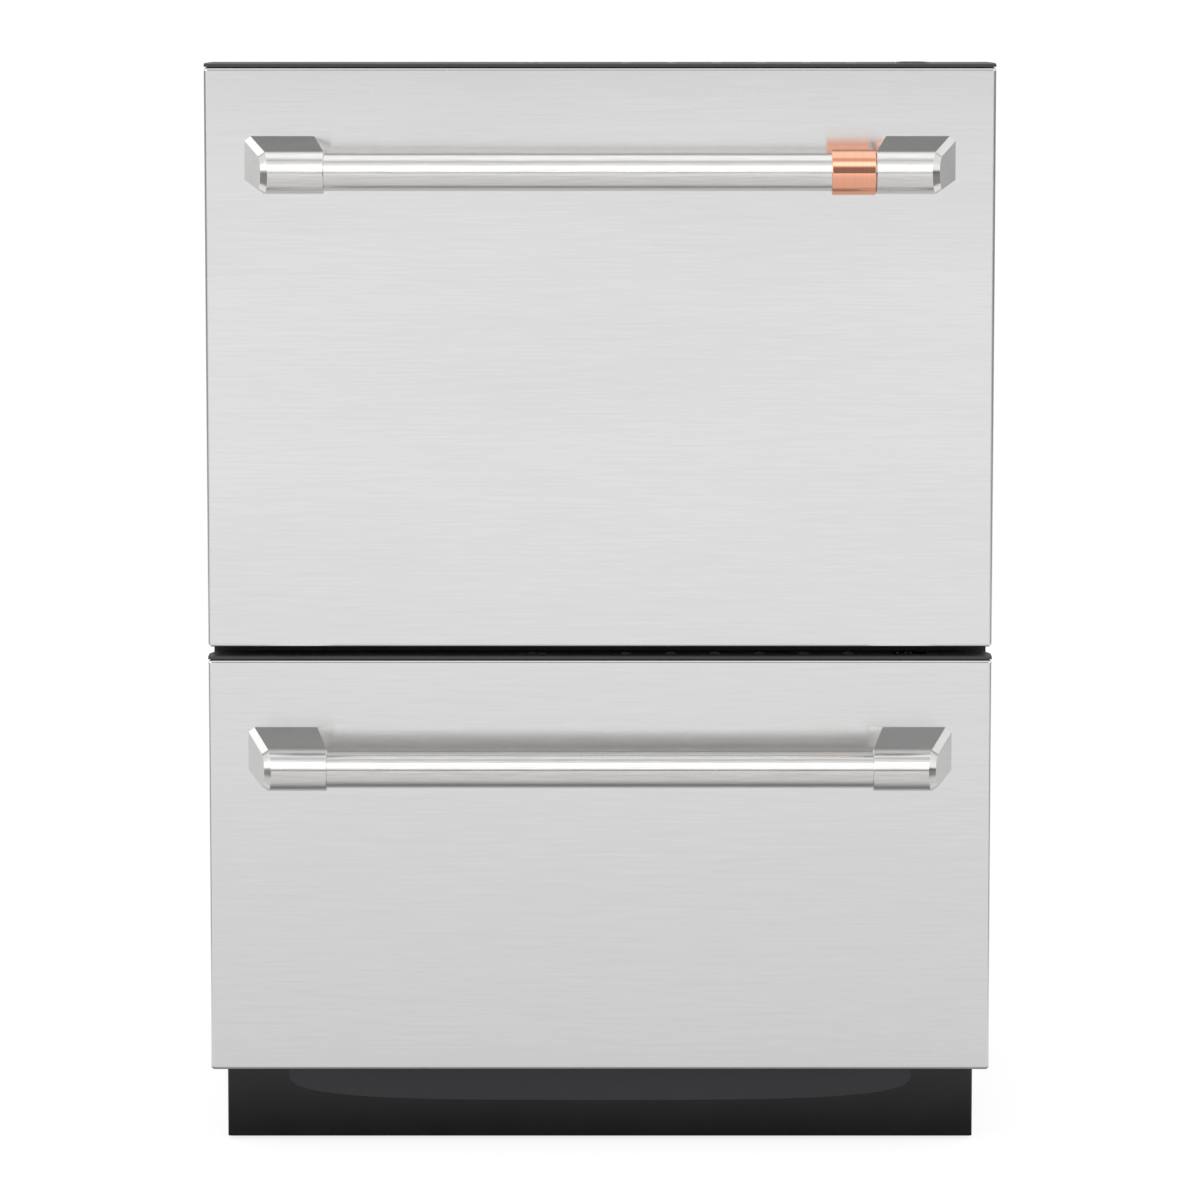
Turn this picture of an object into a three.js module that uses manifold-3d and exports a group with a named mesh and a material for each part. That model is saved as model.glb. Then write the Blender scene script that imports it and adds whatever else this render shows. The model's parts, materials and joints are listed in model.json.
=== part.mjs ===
// Two-drawer built-in dishwasher, as an assembly of separate pieces at rest: both drawers shut.
// Millimetres, +Z up, the fronts face -Y. The origin is on the floor under the middle of the machine.
import * as THREE from 'three';
import { mergeVertices } from 'three/addons/utils/BufferGeometryUtils.js';
import Module from 'manifold-3d';

// ---------------------------------------------------------------- driving dimensions

const FIT = 0.3; // gap left between pieces that touch

// Fronts
const FRONT_WIDTH = 598;
const FACE_Y = -248.5; // outer face of the stainless panels
const FRONT_DEPTH = 34;
const SKIN = 1; // stainless sheet
const SKIN_RETURN = 24; // folded edge of the sheet, front to back
const SKIN_CORNER = 2.8;
const SKIN_BEND = 1.2;
const TOP_FOLD = 5.5; // the fold along the top edge is cut back to this
const NECK_INSET = 8; // and runs back whole for this far from each side
const CAP_PROUD = 2.6; // the dark cap stands this far above the stainless

// Handles
const HANDLE_BELOW_TOP = 70; // centre of a bracket's foot, below the top of its panel
const HANDLE_REACH = 59; // bar axis in front of the panel
const HANDLE_DROP = 5.5; // bar axis below the centre of the bracket's foot
const BAR_RADIUS = 14;
const COLLAR_RADIUS = 16.2;
const COLLAR_INNER_X = 206;
const FOOT_INNER_X = 215.5;
const FOOT_OUTER_X = 264;
const COLLAR_OUTER_X = 251.2;
const FOOT_HALF_HEIGHT = 18.2;
const BEVEL_ACROSS = 3.5;
const BEVEL_OUT = 4.6;
const BAR_SPIGOT = 10; // length of bar held inside each bracket
const BAND_RADIUS = 17;
const BAND_LENGTH = 32.8;
const BAR_SIDES = 24;

// Chassis
const CASING_HALF = 295.5;
const CASING_TOP = 795;
const CASING_BOTTOM = 62;
const CASING_FRONT = -210.5;
const CASING_BACK = 322;
const SHEET = 1.2;
const BASE_FLANGE = 20;
const REAR_Y = 324.5;
const REAR_BEADS = { places: [210, 420, 630], high: 24, inset: 55, lap: 0.5 };
const TRAY = { half: 287, front: -196, back: 300, bottom: 14, top: 61.7, wall: 2.5 };
const KICK = { half: 289, face: -200.5, bottom: 3, top: 61.6, back: 34 };
const RELIEF = { half: 241.5, deep: 23.6, shoulder: 54.8, power: 3.5, steps: 28 }; // raised on the kick plate
const RAIL = { bottom: 376, top: 389.5, front: -210, back: -185 };

// Connections at the back of the base tray
const HOSE_PLATE = { x: [-205, -60], middle: 38, half: 19, inletX: -170, drainX: -98 };
const TERMINAL_BOX = {
  x: [110, 205], deep: 14, lip: 4, cover: 2, middle: 38, half: 21, glandX: 132, glandRadius: 9, glandLong: 7,
};

// Levelling feet
const LEG_X = 262;
const LEG_FRONT_Y = -166;
const LEG_BACK_Y = 270;
const LEG_STEM = 6.3;
const LEG_TOP = 92;
const LEG_PAD = 17;
const LEG_PAD_HIGH = 9;

// Drawers: base is the underside of the wash motor, rim is the top of the tub
const DRAWERS = [
  { name: 'upper', panelBottom: 393, panelTop: 834, base: 392, rim: 754, slideZ: 560 },
  { name: 'lower', panelBottom: 65, panelTop: 383, base: 75, rim: 336, slideZ: 250 },
];
const MOTOR_HIGH = 27.7;
const SUMP_UNDER = 28; // heights above the drawer's base
const SUMP_FLOOR = 31;
const FLOOR_UNDER = 50;
const TUB_FLOOR = 53;
const TUB = { halfX: 279, front: -214.2, back: 290, wall: 3, rim: 9, rimHigh: 4, corner: 42 };
const TUB_MID_Y = (TUB.front + TUB.back) / 2;
const TUB_HALF_Y = (TUB.back - TUB.front) / 2;
const SUMP_RADIUS = 72;
const POST_RADIUS = 12;

// Slides: each member is a channel whose web stands at webX and whose flanges run to openX
const SLIDE = { length: 500, start: -209, gauge: 1.2 };
const OUTER_MEMBER = { webX: 294, openX: 283, halfHigh: 22.5 };
const MID_MEMBER = { webX: 291.8, openX: 283.6, halfHigh: 19.5 };
const INNER_MEMBER = { webX: 279.3, openX: 289, halfHigh: 16 };

// Lids, which come down on the tubs to seal them
const LID_TRAVEL = 8;
const LID = { half: 281, front: -213.2, back: 291.5, high: 22.2, floor: 3, rib: 4 };
const SEAL_HIGH = 7;
const SEAL_WIDE = 6.5;

// Lid lifters: a shaft across the back of each lid, turned by a gearmotor
const LIFTER = { y: 308, aboveLid: 11, shaft: 5, shaftHalf: 262, cam: 11, camX: 250, camHalf: 6, armHalf: 4 };

// Racks
const WIRE = 2.2; // half its thickness
const RACK = { halfX: 255, front: -174, back: 271, aboveFloor: 42, belowRim: 12 };
const TINE_HIGH = 72;
const TINE_COUNT = 7; // upright tines in a row; the folding row has one fewer, set between them
const AXLE_ABOVE = 9;
const REST_HALF = 7; // moulded rests on the tub's floor that carry the rack
const CUTLERY = { x: [182, 250], y: [-150, 92], high: 112, wall: 2.4, rows: 3, columns: 2 };

// ---------------------------------------------------------------- solids

const wasm = await Module();
wasm.setup();

function toSolid(geometry) {
  const bare = geometry.clone();
  bare.deleteAttribute('normal');
  bare.deleteAttribute('uv');
  const merged = mergeVertices(bare, 1e-4);
  return new wasm.Manifold(new wasm.Mesh({
    numProp: 3,
    vertProperties: new Float32Array(merged.attributes.position.array),
    triVerts: new Uint32Array(merged.index.array),
  }));
}

function toGeometry(solid) {
  const mesh = solid.asOriginal().getMesh();
  const geometry = new THREE.BufferGeometry();
  geometry.setAttribute('position', new THREE.BufferAttribute(mesh.vertProperties, 3));
  geometry.setIndex(new THREE.BufferAttribute(mesh.triVerts, 1));
  geometry.computeVertexNormals();
  return geometry;
}

function join(...pieces) {
  return toGeometry(pieces.map(toSolid).reduce((whole, piece) => whole.add(piece)));
}

function cut(body, ...tools) {
  return toGeometry(tools.map(toSolid).reduce((left, tool) => left.subtract(tool), toSolid(body)));
}

function block([x0, x1], [y0, y1], [z0, z1]) {
  const geometry = new THREE.BoxGeometry(x1 - x0, y1 - y0, z1 - z0);
  return geometry.translate((x0 + x1) / 2, (y0 + y1) / 2, (z0 + z1) / 2);
}

// A closed body over a stack of rings with equal counts. The rings turn right-handed about their travel.
function loft(rings) {
  const count = rings[0].length;
  const last = (rings.length - 1) * count;
  const index = [];
  for (let start = 0; start < last; start += count) {
    for (let side = 0; side < count; side += 1) {
      const here = start + side;
      const next = start + ((side + 1) % count);
      index.push(here, next, next + count, here, next + count, here + count);
    }
  }
  for (let side = 1; side < count - 1; side += 1) {
    index.push(0, side + 1, side, last, last + side, last + side + 1);
  }
  const geometry = new THREE.BufferGeometry();
  const numbers = rings.flat().flatMap((point) => point.toArray());
  geometry.setAttribute('position', new THREE.Float32BufferAttribute(numbers, 3));
  geometry.setIndex(index);
  geometry.computeVertexNormals();
  return geometry;
}

// Points of a rounded rectangle, in its own u and v, right-handed.
function roundedRectangle(halfU, halfV, radius, steps) {
  const points = [];
  for (let corner = 0; corner < 4; corner += 1) {
    const signU = corner === 0 || corner === 3 ? 1 : -1;
    const signV = corner < 2 ? 1 : -1;
    for (let step = 0; step <= steps; step += 1) {
      const angle = (corner + step / steps) * (Math.PI / 2);
      points.push([
        signU * (halfU - radius) + radius * Math.cos(angle),
        signV * (halfV - radius) + radius * Math.sin(angle),
      ]);
    }
  }
  return points;
}

// A body turned about a vertical axis: the profile is a list of [radius, z], from the bottom up.
function turned(profile, sides, x, y) {
  return loft(profile.map(([radius, z]) => Array.from({ length: sides }, (_, side) => {
    const angle = (side / sides) * 2 * Math.PI;
    return new THREE.Vector3(x + radius * Math.cos(angle), y + radius * Math.sin(angle), z);
  })));
}

// A rod along X.
function rodAlongX(radius, x0, x1, y, z, sides) {
  const rod = new THREE.CylinderGeometry(radius, radius, x1 - x0, sides);
  return rod.rotateZ(-Math.PI / 2).translate((x0 + x1) / 2, y, z);
}

// A rod along Y.
function rodAlongY(radius, y0, y1, x, z, sides) {
  return new THREE.CylinderGeometry(radius, radius, y1 - y0, sides).translate(x, (y0 + y1) / 2, z);
}

// A straight length of wire, square in section, whose ends run on by half its thickness.
function wire(from, to) {
  const { min, max } = new THREE.Box3().setFromPoints([from, to]).expandByScalar(WIRE);
  return block([min.x, max.x], [min.y, max.y], [min.z, max.z]);
}

// A flat outline pushed out along Y, given as [x, z] points.
function pushedAlongY(outline, y0, y1) {
  const shape = new THREE.Shape(outline.map(([x, z]) => new THREE.Vector2(x, z)));
  const geometry = new THREE.ExtrudeGeometry(shape, { depth: y1 - y0, bevelEnabled: false });
  return geometry.rotateX(Math.PI / 2).translate(0, y1, 0);
}

// A flat outline raised along Z, given as [x, y] points.
function raised(outline, z0, z1) {
  const shape = new THREE.Shape(outline.map(([x, y]) => new THREE.Vector2(x, y)));
  return new THREE.ExtrudeGeometry(shape, { depth: z1 - z0, bevelEnabled: false }).translate(0, 0, z0);
}

// ---------------------------------------------------------------- finishes

function finish(color, roughness, metalness) {
  return () => new THREE.MeshStandardMaterial({ color, roughness, metalness });
}

const stainless = finish(0xd9d9d8, 0.34, 1);
const satinMetal = finish(0xcfcdc9, 0.25, 1);
const copper = finish(0xe8a27c, 0.15, 1);
const galvanised = finish(0xa9adb0, 0.45, 1);
const slideSteel = finish(0xbfc3c6, 0.3, 1);
const darkPlastic = finish(0x3a3b3e, 0.5, 0);
const blackGloss = finish(0x1d1d1f, 0.3, 0);
const tubPlastic = finish(0xb9bcbe, 0.45, 0);
const greyPlastic = finish(0x8d9194, 0.5, 0);
const rackCoat = finish(0x8f969b, 0.4, 0);
const seal = finish(0x2a2a2c, 0.8, 0);
const motorBlack = finish(0x202224, 0.55, 0);

const machine = new THREE.Group();

function add(name, geometry, material) {
  const mesh = new THREE.Mesh(geometry, material());
  mesh.name = name;
  machine.add(mesh);
}

// ---------------------------------------------------------------- chassis

// Wrapped sheet: top and both sides, with the sides turned in at the bottom to sit on the base tray.
function casing() {
  const outer = CASING_HALF;
  const inner = CASING_HALF - SHEET;
  const under = CASING_BOTTOM + SHEET;
  const half = [
    [outer - BASE_FLANGE, CASING_BOTTOM], [outer, CASING_BOTTOM], [outer, CASING_TOP],
  ];
  const halfInside = [
    [inner, CASING_TOP - SHEET], [inner, under], [outer - BASE_FLANGE, under],
  ];
  const mirror = (points) => points.map(([x, z]) => [-x, z]).reverse();
  const outline = [...half, ...mirror(half), ...mirror(halfInside), ...halfInside];
  return pushedAlongY(outline, CASING_FRONT, CASING_BACK);
}

// Flat sheet with three raised beads that stiffen it.
function rearPanel() {
  const half = CASING_HALF - SHEET;
  const plateBack = CASING_BACK + FIT + SHEET;
  const [bottom, top] = [CASING_BOTTOM + 2, CASING_TOP - 2];
  const plate = block([-half, half], [CASING_BACK + FIT, plateBack], [bottom, top]);
  const { places, high, inset, lap } = REAR_BEADS;
  const beads = places.map((z) => (
    block([inset - half, half - inset], [plateBack - lap, REAR_Y], [z, z + high])
  ));
  return join(plate, ...beads);
}

// Open tray under the machine, with a bored boss in each corner for a levelling foot.
function baseTray() {
  const { half, front, back, bottom, top, wall } = TRAY;
  const bossRadius = 19;
  const shell = cut(
    block([-half, half], [front, back], [bottom, top]),
    block([-half + wall, half - wall], [front + wall, back - wall], [bottom + wall, top + 1]),
  );
  const bosses = legPlaces().map(([x, y]) => (
    turned([[bossRadius, bottom + 0.5], [bossRadius, top - 2]], 12, x, y)
  ));
  const bores = legPlaces().map(([x, y]) => (
    turned([[LEG_STEM + FIT, bottom - 1], [LEG_STEM + FIT, top + 1]], 12, x, y)
  ));
  return cut(join(shell, ...bosses), ...bores);
}

function legPlaces() {
  return [[-LEG_X, LEG_FRONT_Y], [LEG_X, LEG_FRONT_Y], [-LEG_X, LEG_BACK_Y], [LEG_X, LEG_BACK_Y]];
}

// Threaded stem over a wide pad, screwed all the way in.
function levellingFoot(x, y) {
  return turned([
    [LEG_PAD - 1.5, 0], [LEG_PAD, 2], [LEG_PAD, LEG_PAD_HIGH - 2], [LEG_STEM + 3, LEG_PAD_HIGH],
    [LEG_STEM, LEG_PAD_HIGH + 1], [LEG_STEM, LEG_TOP - 2], [LEG_STEM - 1.5, LEG_TOP],
  ], 12, x, y);
}

// Black kick plate with its ends turned back, and a shallow flat-bottomed oval raised on it.
function toeKick() {
  const { half, face, bottom, top, back } = KICK;
  const inner = half - SHEET;
  const plate = raised([
    [-half, face], [half, face], [half, face + back], [inner, face + back],
    [inner, face + SHEET], [-inner, face + SHEET], [-inner, face + back], [-half, face + back],
  ], bottom, top);
  const oval = spread(Math.PI, 2 * Math.PI, RELIEF.steps + 1).map((angle) => {
    const bend = (value) => Math.sign(value) * Math.abs(value) ** (2 / RELIEF.power);
    return [RELIEF.half * bend(Math.cos(angle)), RELIEF.shoulder + RELIEF.deep * bend(Math.sin(angle))];
  });
  const relief = pushedAlongY([...oval, [RELIEF.half, top], [-RELIEF.half, top]], face - 0.6, face + 0.6);
  return join(plate, relief);
}

// Channel across the front between the two drawers, open downwards.
function midRail() {
  const half = CASING_HALF - SHEET - FIT;
  const { bottom, top, front, back } = RAIL;
  return cut(
    block([-half, half], [front, back], [bottom, top]),
    block([-half - 1, half + 1], [front + SHEET, back - SHEET], [bottom - 1, top - SHEET]),
  );
}

// Plate behind the base tray that carries the capped water inlet and the drain spigot.
function hosePlate() {
  const face = TRAY.back + FIT;
  const thick = 3;
  const root = face + thick - 1;
  const { x: across, middle, half, inletX, drainX } = HOSE_PLATE;
  const plate = block(across, [face, face + thick], [middle - half, middle + half]);
  const port = (radius, from, to, x, sides) => rodAlongY(radius, from, face + to, x, middle, sides);
  const inlet = port(13.2, root, 19, inletX, 16);
  const inletNut = port(16.5, root, 8, inletX, 6);
  const drain = port(9.5, root, 21, drainX, 16);
  const barb = port(11, face + 14, 18, drainX, 16);
  return join(plate, inlet, inletNut, drain, barb);
}

// Wiring box with its cable gland, beside the hose plate.
function terminalBox() {
  const face = TRAY.back + FIT;
  const { x: [x0, x1], deep, lip, cover, middle, half, glandX, glandRadius, glandLong } = TERMINAL_BOX;
  const lidHalf = half + lip / 2;
  const shell = block([x0, x1], [face, face + deep], [middle - half, middle + half]);
  const lid = block(
    [x0 - lip, x1 + lip], [face + deep - 1, face + deep + cover], [middle - lidHalf, middle + lidHalf],
  );
  const gland = rodAlongY(glandRadius, face + deep, face + deep + cover + glandLong, glandX, middle, 12);
  return join(shell, lid, gland);
}

// Cross shaft with a cam and an arm at each end, and its gearmotor on the rear panel.
// The arms reach the lid's back edge.
function lidLifter(lidBottom) {
  const { y, shaft, shaftHalf, cam, camX, camHalf, armHalf } = LIFTER;
  const z = lidBottom + LIFTER.aboveLid;
  const parts = [-1, 1].flatMap((side) => [
    rodAlongX(cam, side * camX - camHalf, side * camX + camHalf, y, z, 16),
    block([side * camX - armHalf, side * camX + armHalf], [LID.back + FIT, y], [z - armHalf, z + armHalf]),
  ]);
  const motor = block([-38, 38], [y - 10, CASING_BACK], [z - 14, z + 11]);
  const gearbox = block([36, 66], [y - 8, y + 9], [z - 11, z + 10]);
  return join(rodAlongX(shaft, -shaftHalf, shaftHalf, y, z, 10), ...parts, motor, gearbox);
}

// ---------------------------------------------------------------- slides

// One member of a telescopic slide: a channel that is open towards one side.
function channel(member, side, z) {
  const { length, start, gauge } = SLIDE;
  const { halfHigh } = member;
  const [webX, openX] = [member.webX * side, member.openX * side];
  const inward = Math.sign(openX - webX) * gauge;
  const outline = [
    [webX, z - halfHigh], [openX, z - halfHigh], [openX, z - halfHigh + gauge],
    [webX + inward, z - halfHigh + gauge], [webX + inward, z + halfHigh - gauge],
    [openX, z + halfHigh - gauge], [openX, z + halfHigh], [webX, z + halfHigh],
  ];
  return pushedAlongY(outline, start, start + length);
}

// ---------------------------------------------------------------- lids

// Shallow ribbed tray, open upwards, whose flat underside covers the tub.
function lid(bottom) {
  const { half, front, back, high, floor, rib } = LID;
  const across = 4;
  const deep = 3;
  const cellX = (2 * half - rib * (across + 1)) / across;
  const cellY = (back - front - rib * (deep + 1)) / deep;
  const cells = [];
  for (let column = 0; column < across; column += 1) {
    for (let row = 0; row < deep; row += 1) {
      const x = -half + rib + column * (cellX + rib);
      const y = front + rib + row * (cellY + rib);
      cells.push(block([x, x + cellX], [y, y + cellY], [bottom + floor, bottom + high + 1]));
    }
  }
  return cut(block([-half, half], [front, back], [bottom, bottom + high]), ...cells);
}

// Rounded rubber ring under the lid, over the rim of the tub.
function lidSeal(lidBottom) {
  const top = lidBottom - FIT;
  const bottom = lidBottom - SEAL_HIGH;
  const outset = 1.4;
  const ring = (inset, z) => tubRing(outset + inset, z);
  return loftRing([
    ring(0, top), ring(SEAL_WIDE, top), ring(SEAL_WIDE - 0.5, bottom + 2),
    ring(SEAL_WIDE / 2, bottom), ring(0.5, bottom + 2),
  ]);
}

// A closed band: the rings run round its section, and the last joins the first.
function loftRing(rings) {
  const count = rings[0].length;
  const index = [];
  rings.forEach((_, place) => {
    const start = place * count;
    const after = ((place + 1) % rings.length) * count;
    for (let side = 0; side < count; side += 1) {
      const next = (side + 1) % count;
      index.push(start + side, start + next, after + next, start + side, after + next, after + side);
    }
  });
  const geometry = new THREE.BufferGeometry();
  const numbers = rings.flat().flatMap((point) => point.toArray());
  geometry.setAttribute('position', new THREE.Float32BufferAttribute(numbers, 3));
  geometry.setIndex(index);
  geometry.computeVertexNormals();
  return geometry;
}

// ---------------------------------------------------------------- tub and its machinery

// The tub's outline drawn in by an inset, at a height.
function tubRing(inset, z) {
  const radius = Math.max(TUB.corner - inset, 6);
  return roundedRectangle(TUB.halfX - inset, TUB_HALF_Y - inset, radius, 4)
    .map(([x, y]) => new THREE.Vector3(x, TUB_MID_Y + y, z));
}

// The same count of points on a circle about the sump.
function sumpRing(radius, z) {
  const round = 0.98;
  return roundedRectangle(radius, radius, radius * round, 4)
    .map(([x, y]) => new THREE.Vector3(x, TUB_MID_Y + y, z));
}

// Moulded tub: sump, sloping floor, upright walls, a rim turned inwards for the seal and rests for the rack.
function tub(drawer) {
  const { base, rim } = drawer;
  const { wall, rim: rimWide, rimHigh } = TUB;
  const cove = 26; // how far the floor curves in from the walls
  const coveHigh = 14;
  const dish = 9; // fall of the floor from the walls to the sump
  const shell = loft([
    sumpRing(SUMP_RADIUS - 6, base + SUMP_UNDER),
    sumpRing(SUMP_RADIUS + wall, base + SUMP_UNDER + 3),
    sumpRing(SUMP_RADIUS + wall, base + FLOOR_UNDER),
    tubRing(cove, base + FLOOR_UNDER + dish),
    tubRing(0, base + FLOOR_UNDER + dish + coveHigh),
    tubRing(0, rim - 1),
    tubRing(1, rim),
    tubRing(rimWide - 1, rim),
    tubRing(rimWide, rim - 1),
    tubRing(rimWide, rim - rimHigh),
    tubRing(wall, rim - rimHigh - wall),
    tubRing(wall, base + TUB_FLOOR + dish + coveHigh),
    tubRing(cove, base + TUB_FLOOR + dish),
    sumpRing(SUMP_RADIUS, base + TUB_FLOOR),
    sumpRing(SUMP_RADIUS - 4, base + SUMP_FLOOR),
    sumpRing(POST_RADIUS, base + SUMP_FLOOR),
    sumpRing(POST_RADIUS - 1, base + TUB_FLOOR + 15),
  ]);
  const restTop = rackSize(drawer).floor - WIRE - FIT;
  const rests = restPlaces().map(([x, y]) => (
    block([x - REST_HALF, x + REST_HALF], [y - REST_HALF, y + REST_HALF], [base + TUB_FLOOR + 4, restTop])
  ));
  return join(shell, ...rests);
}

// Round strainer over the sump, cupped to the floor, open in the middle for the spray arm's post.
function filterPlate(drawer) {
  const seat = drawer.base + TUB_FLOOR;
  const outer = 104;
  const hole = POST_RADIUS + 6;
  const disc = turned([
    [SUMP_RADIUS - 8, seat - 12], [SUMP_RADIUS - 5, seat + 0.6], [outer - 3, seat + 3],
    [outer, seat + 5], [outer - 2, seat + 6.5], [40, seat + 7],
  ], 20, 0, TUB_MID_Y);
  const inside = turned([
    [SUMP_RADIUS - 12, seat - 9], [SUMP_RADIUS - 9, seat + 4],
  ], 20, 0, TUB_MID_Y);
  const middle = turned([[hole, seat - 20], [hole, seat + 20]], 20, 0, TUB_MID_Y);
  return cut(disc, inside, middle);
}

// Flat two-armed rotor that floats on the post, a little over the strainer.
function sprayArm(drawer) {
  const under = drawer.base + TUB_FLOOR + 17;
  const reach = 212;
  const hub = 34;
  const root = 26;
  const tip = 13;
  const outline = new THREE.Shape();
  outline.absarc(reach - tip, 0, tip, -Math.PI / 2, Math.PI / 2);
  outline.lineTo(hub, root);
  outline.lineTo(0, hub);
  outline.lineTo(-hub, root);
  outline.absarc(-reach + tip, 0, tip, Math.PI / 2, 1.5 * Math.PI);
  outline.lineTo(-hub, -root);
  outline.lineTo(0, -hub);
  outline.lineTo(hub, -root);
  const blade = new THREE.ExtrudeGeometry(outline, {
    depth: 5, curveSegments: 5, bevelThickness: 2, bevelSize: 2, bevelOffset: -2, bevelSegments: 1,
  });
  const cap = turned([[hub - 6, under + 8], [hub - 10, under + 13], [8, under + 15]], 16, 0, TUB_MID_Y);
  return join(blade.translate(0, TUB_MID_Y, under + 2), cap);
}

// Flat pump motor under the sump, with its volute, outlet and plug.
function washMotor(drawer) {
  const { base } = drawer;
  const top = base + MOTOR_HIGH;
  const canRadius = 50;
  const flangeRadius = 58;
  const can = turned([
    [canRadius - 6, base], [canRadius, base + 3], [canRadius, base + 17], [flangeRadius, base + 19],
    [flangeRadius, top],
  ], 24, 0, TUB_MID_Y);
  const volute = block([30, 92], [TUB_MID_Y - 22, TUB_MID_Y + 8], [base + 5, base + 24]);
  const outlet = rodAlongY(8, TUB_MID_Y, TUB_MID_Y + 70, 80, base + 14, 12);
  const plug = block([-78, -46], [TUB_MID_Y - 14, TUB_MID_Y + 14], [base + 6, base + 18]);
  return join(can, volute, outlet, plug);
}

// ---------------------------------------------------------------- racks

function rackSize(drawer) {
  return { floor: drawer.base + TUB_FLOOR + RACK.aboveFloor, top: drawer.rim - RACK.belowRim };
}

function spread(from, to, count) {
  return Array.from({ length: count }, (_, place) => from + ((to - from) * place) / (count - 1));
}

const ACROSS_WIRES = spread(RACK.front + 30, RACK.back - 34, 7); // places along Y
const DEEP_WIRES = spread(-RACK.halfX + 30, RACK.halfX - 30, 9); // places along X
const TINE_ROWS = [2, 4, 5]; // which of the across wires carry upright tines

// Under the crossings of the outermost floor wires, clear of the spray arm.
function restPlaces() {
  return [DEEP_WIRES.at(0), DEEP_WIRES.at(-1)].flatMap((x) => (
    [ACROSS_WIRES.at(0), ACROSS_WIRES.at(-1)].map((y) => [x, y])
  ));
}

const FOLD_ROW_Y = (ACROSS_WIRES[3] + ACROSS_WIRES[4]) / 2 - 8;
const TINES = { upper: [-118, 158], lower: [-226, 96] }; // span of the tines along X

// Wire basket: floor wires turned up as walls, a rim and a belt round it, and its upright tines.
function rack(drawer) {
  const { floor, top } = rackSize(drawer);
  const { halfX, front, back } = RACK;
  const lap = WIRE * 1.2; // the crossing wires are pressed into each other
  const at = (x, y, z) => new THREE.Vector3(x, y, z);
  const wires = [];
  ACROSS_WIRES.forEach((y) => {
    wires.push(wire(at(-halfX, y, floor), at(halfX, y, floor)));
    wires.push(wire(at(-halfX, y, floor), at(-halfX, y, top)));
    wires.push(wire(at(halfX, y, floor), at(halfX, y, top)));
  });
  DEEP_WIRES.forEach((x) => {
    wires.push(wire(at(x, front, floor + lap), at(x, back, floor + lap)));
    wires.push(wire(at(x, front, floor + lap), at(x, front, top)));
    wires.push(wire(at(x, back, floor + lap), at(x, back, top)));
  });
  [top, (floor + top) / 2].forEach((z) => {
    wires.push(wire(at(-halfX, front, z), at(halfX, front, z)));
    wires.push(wire(at(-halfX, back, z), at(halfX, back, z)));
    wires.push(wire(at(-halfX, front, z), at(-halfX, back, z)));
    wires.push(wire(at(halfX, front, z), at(halfX, back, z)));
  });
  TINE_ROWS.forEach((row) => {
    spread(...TINES[drawer.name], TINE_COUNT).forEach((x) => {
      wires.push(wire(at(x, ACROSS_WIRES[row], floor), at(x, ACROSS_WIRES[row], floor + TINE_HIGH)));
    });
  });
  return join(...wires);
}

// Row of tines on an axle, which folds down flat towards the front.
function foldingTines(drawer) {
  const { floor } = rackSize(drawer);
  const [from, to] = TINES[drawer.name];
  const half = (to - from) / (TINE_COUNT - 1) / 2;
  const z = floor + AXLE_ABOVE;
  const axle = wire(new THREE.Vector3(from, FOLD_ROW_Y, z), new THREE.Vector3(to, FOLD_ROW_Y, z));
  const tines = spread(from + half, to - half, TINE_COUNT - 1).map((x) => (
    wire(new THREE.Vector3(x, FOLD_ROW_Y, z), new THREE.Vector3(x, FOLD_ROW_Y, z + TINE_HIGH - AXLE_ABOVE))
  ));
  return join(axle, ...tines);
}

// Open cutlery basket with six wells.
function cutleryBasket(drawer) {
  const { floor } = rackSize(drawer);
  const bottom = floor + WIRE * 2.2 + FIT + 1;
  const { x: [x0, x1], y: [y0, y1], high, wall, rows, columns } = CUTLERY;
  const wells = [];
  const deep = (y1 - y0 - wall * (rows + 1)) / rows;
  const wide = (x1 - x0 - wall * (columns + 1)) / columns;
  for (let column = 0; column < columns; column += 1) {
    for (let row = 0; row < rows; row += 1) {
      const x = x0 + wall + column * (wide + wall);
      const y = y0 + wall + row * (deep + wall);
      wells.push(block([x, x + wide], [y, y + deep], [bottom + wall, bottom + high + 1]));
    }
  }
  return cut(block([x0, x1], [y0, y1], [bottom, bottom + high]), ...wells);
}

// ---------------------------------------------------------------- dispenser

const DISPENSER = {
  left: -75, right: 115, high: 84, thick: 18.6, belowRim: 14, well: 60, wellInset: 10, wellDeep: 12,
  ridgeAway: 37.5, ridgeHalf: 1.5, ridgeHigh: 3.6, capInset: 19, capRadius: 13, capHigh: 4,
};
const DISPENSER_LID = {
  inset: 6, long: 68, half: 35, thick: 3, gripHalf: 16, gripHigh: 5.4, gripInset: 6, gripWide: 4,
};

function dispenserSize(drawer) {
  const { high, thick, belowRim } = DISPENSER;
  const top = drawer.rim - belowRim;
  const front = TUB.front + TUB.wall + FIT;
  return { top, bottom: top - high, middle: top - high / 2, front, back: front + thick };
}

// Body on the tub's front wall, with an open well for detergent, two guide ridges and a rinse-aid cap.
function dispenser(drawer) {
  const { top, bottom, middle, front, back } = dispenserSize(drawer);
  const { left, right, well, wellInset, wellDeep, ridgeAway, ridgeHalf, ridgeHigh } = DISPENSER;
  const { capInset, capRadius, capHigh } = DISPENSER;
  const body = block([left, right], [front, back], [bottom, top]);
  const ridges = [middle - ridgeAway, middle + ridgeAway].map((z) => (
    block([left + 3, right - 36], [back - 1, back + ridgeHigh], [z - ridgeHalf, z + ridgeHalf])
  ));
  const rinseCap = rodAlongY(capRadius, back - 1, back + capHigh, right - capInset, middle, 16);
  const wellLeft = left + wellInset;
  const wellZ = [middle - well / 2, middle + well / 2];
  const wellCut = block([wellLeft, wellLeft + well], [back - wellDeep, back + 1], wellZ);
  return cut(join(body, ...ridges, rinseCap), wellCut);
}

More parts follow.
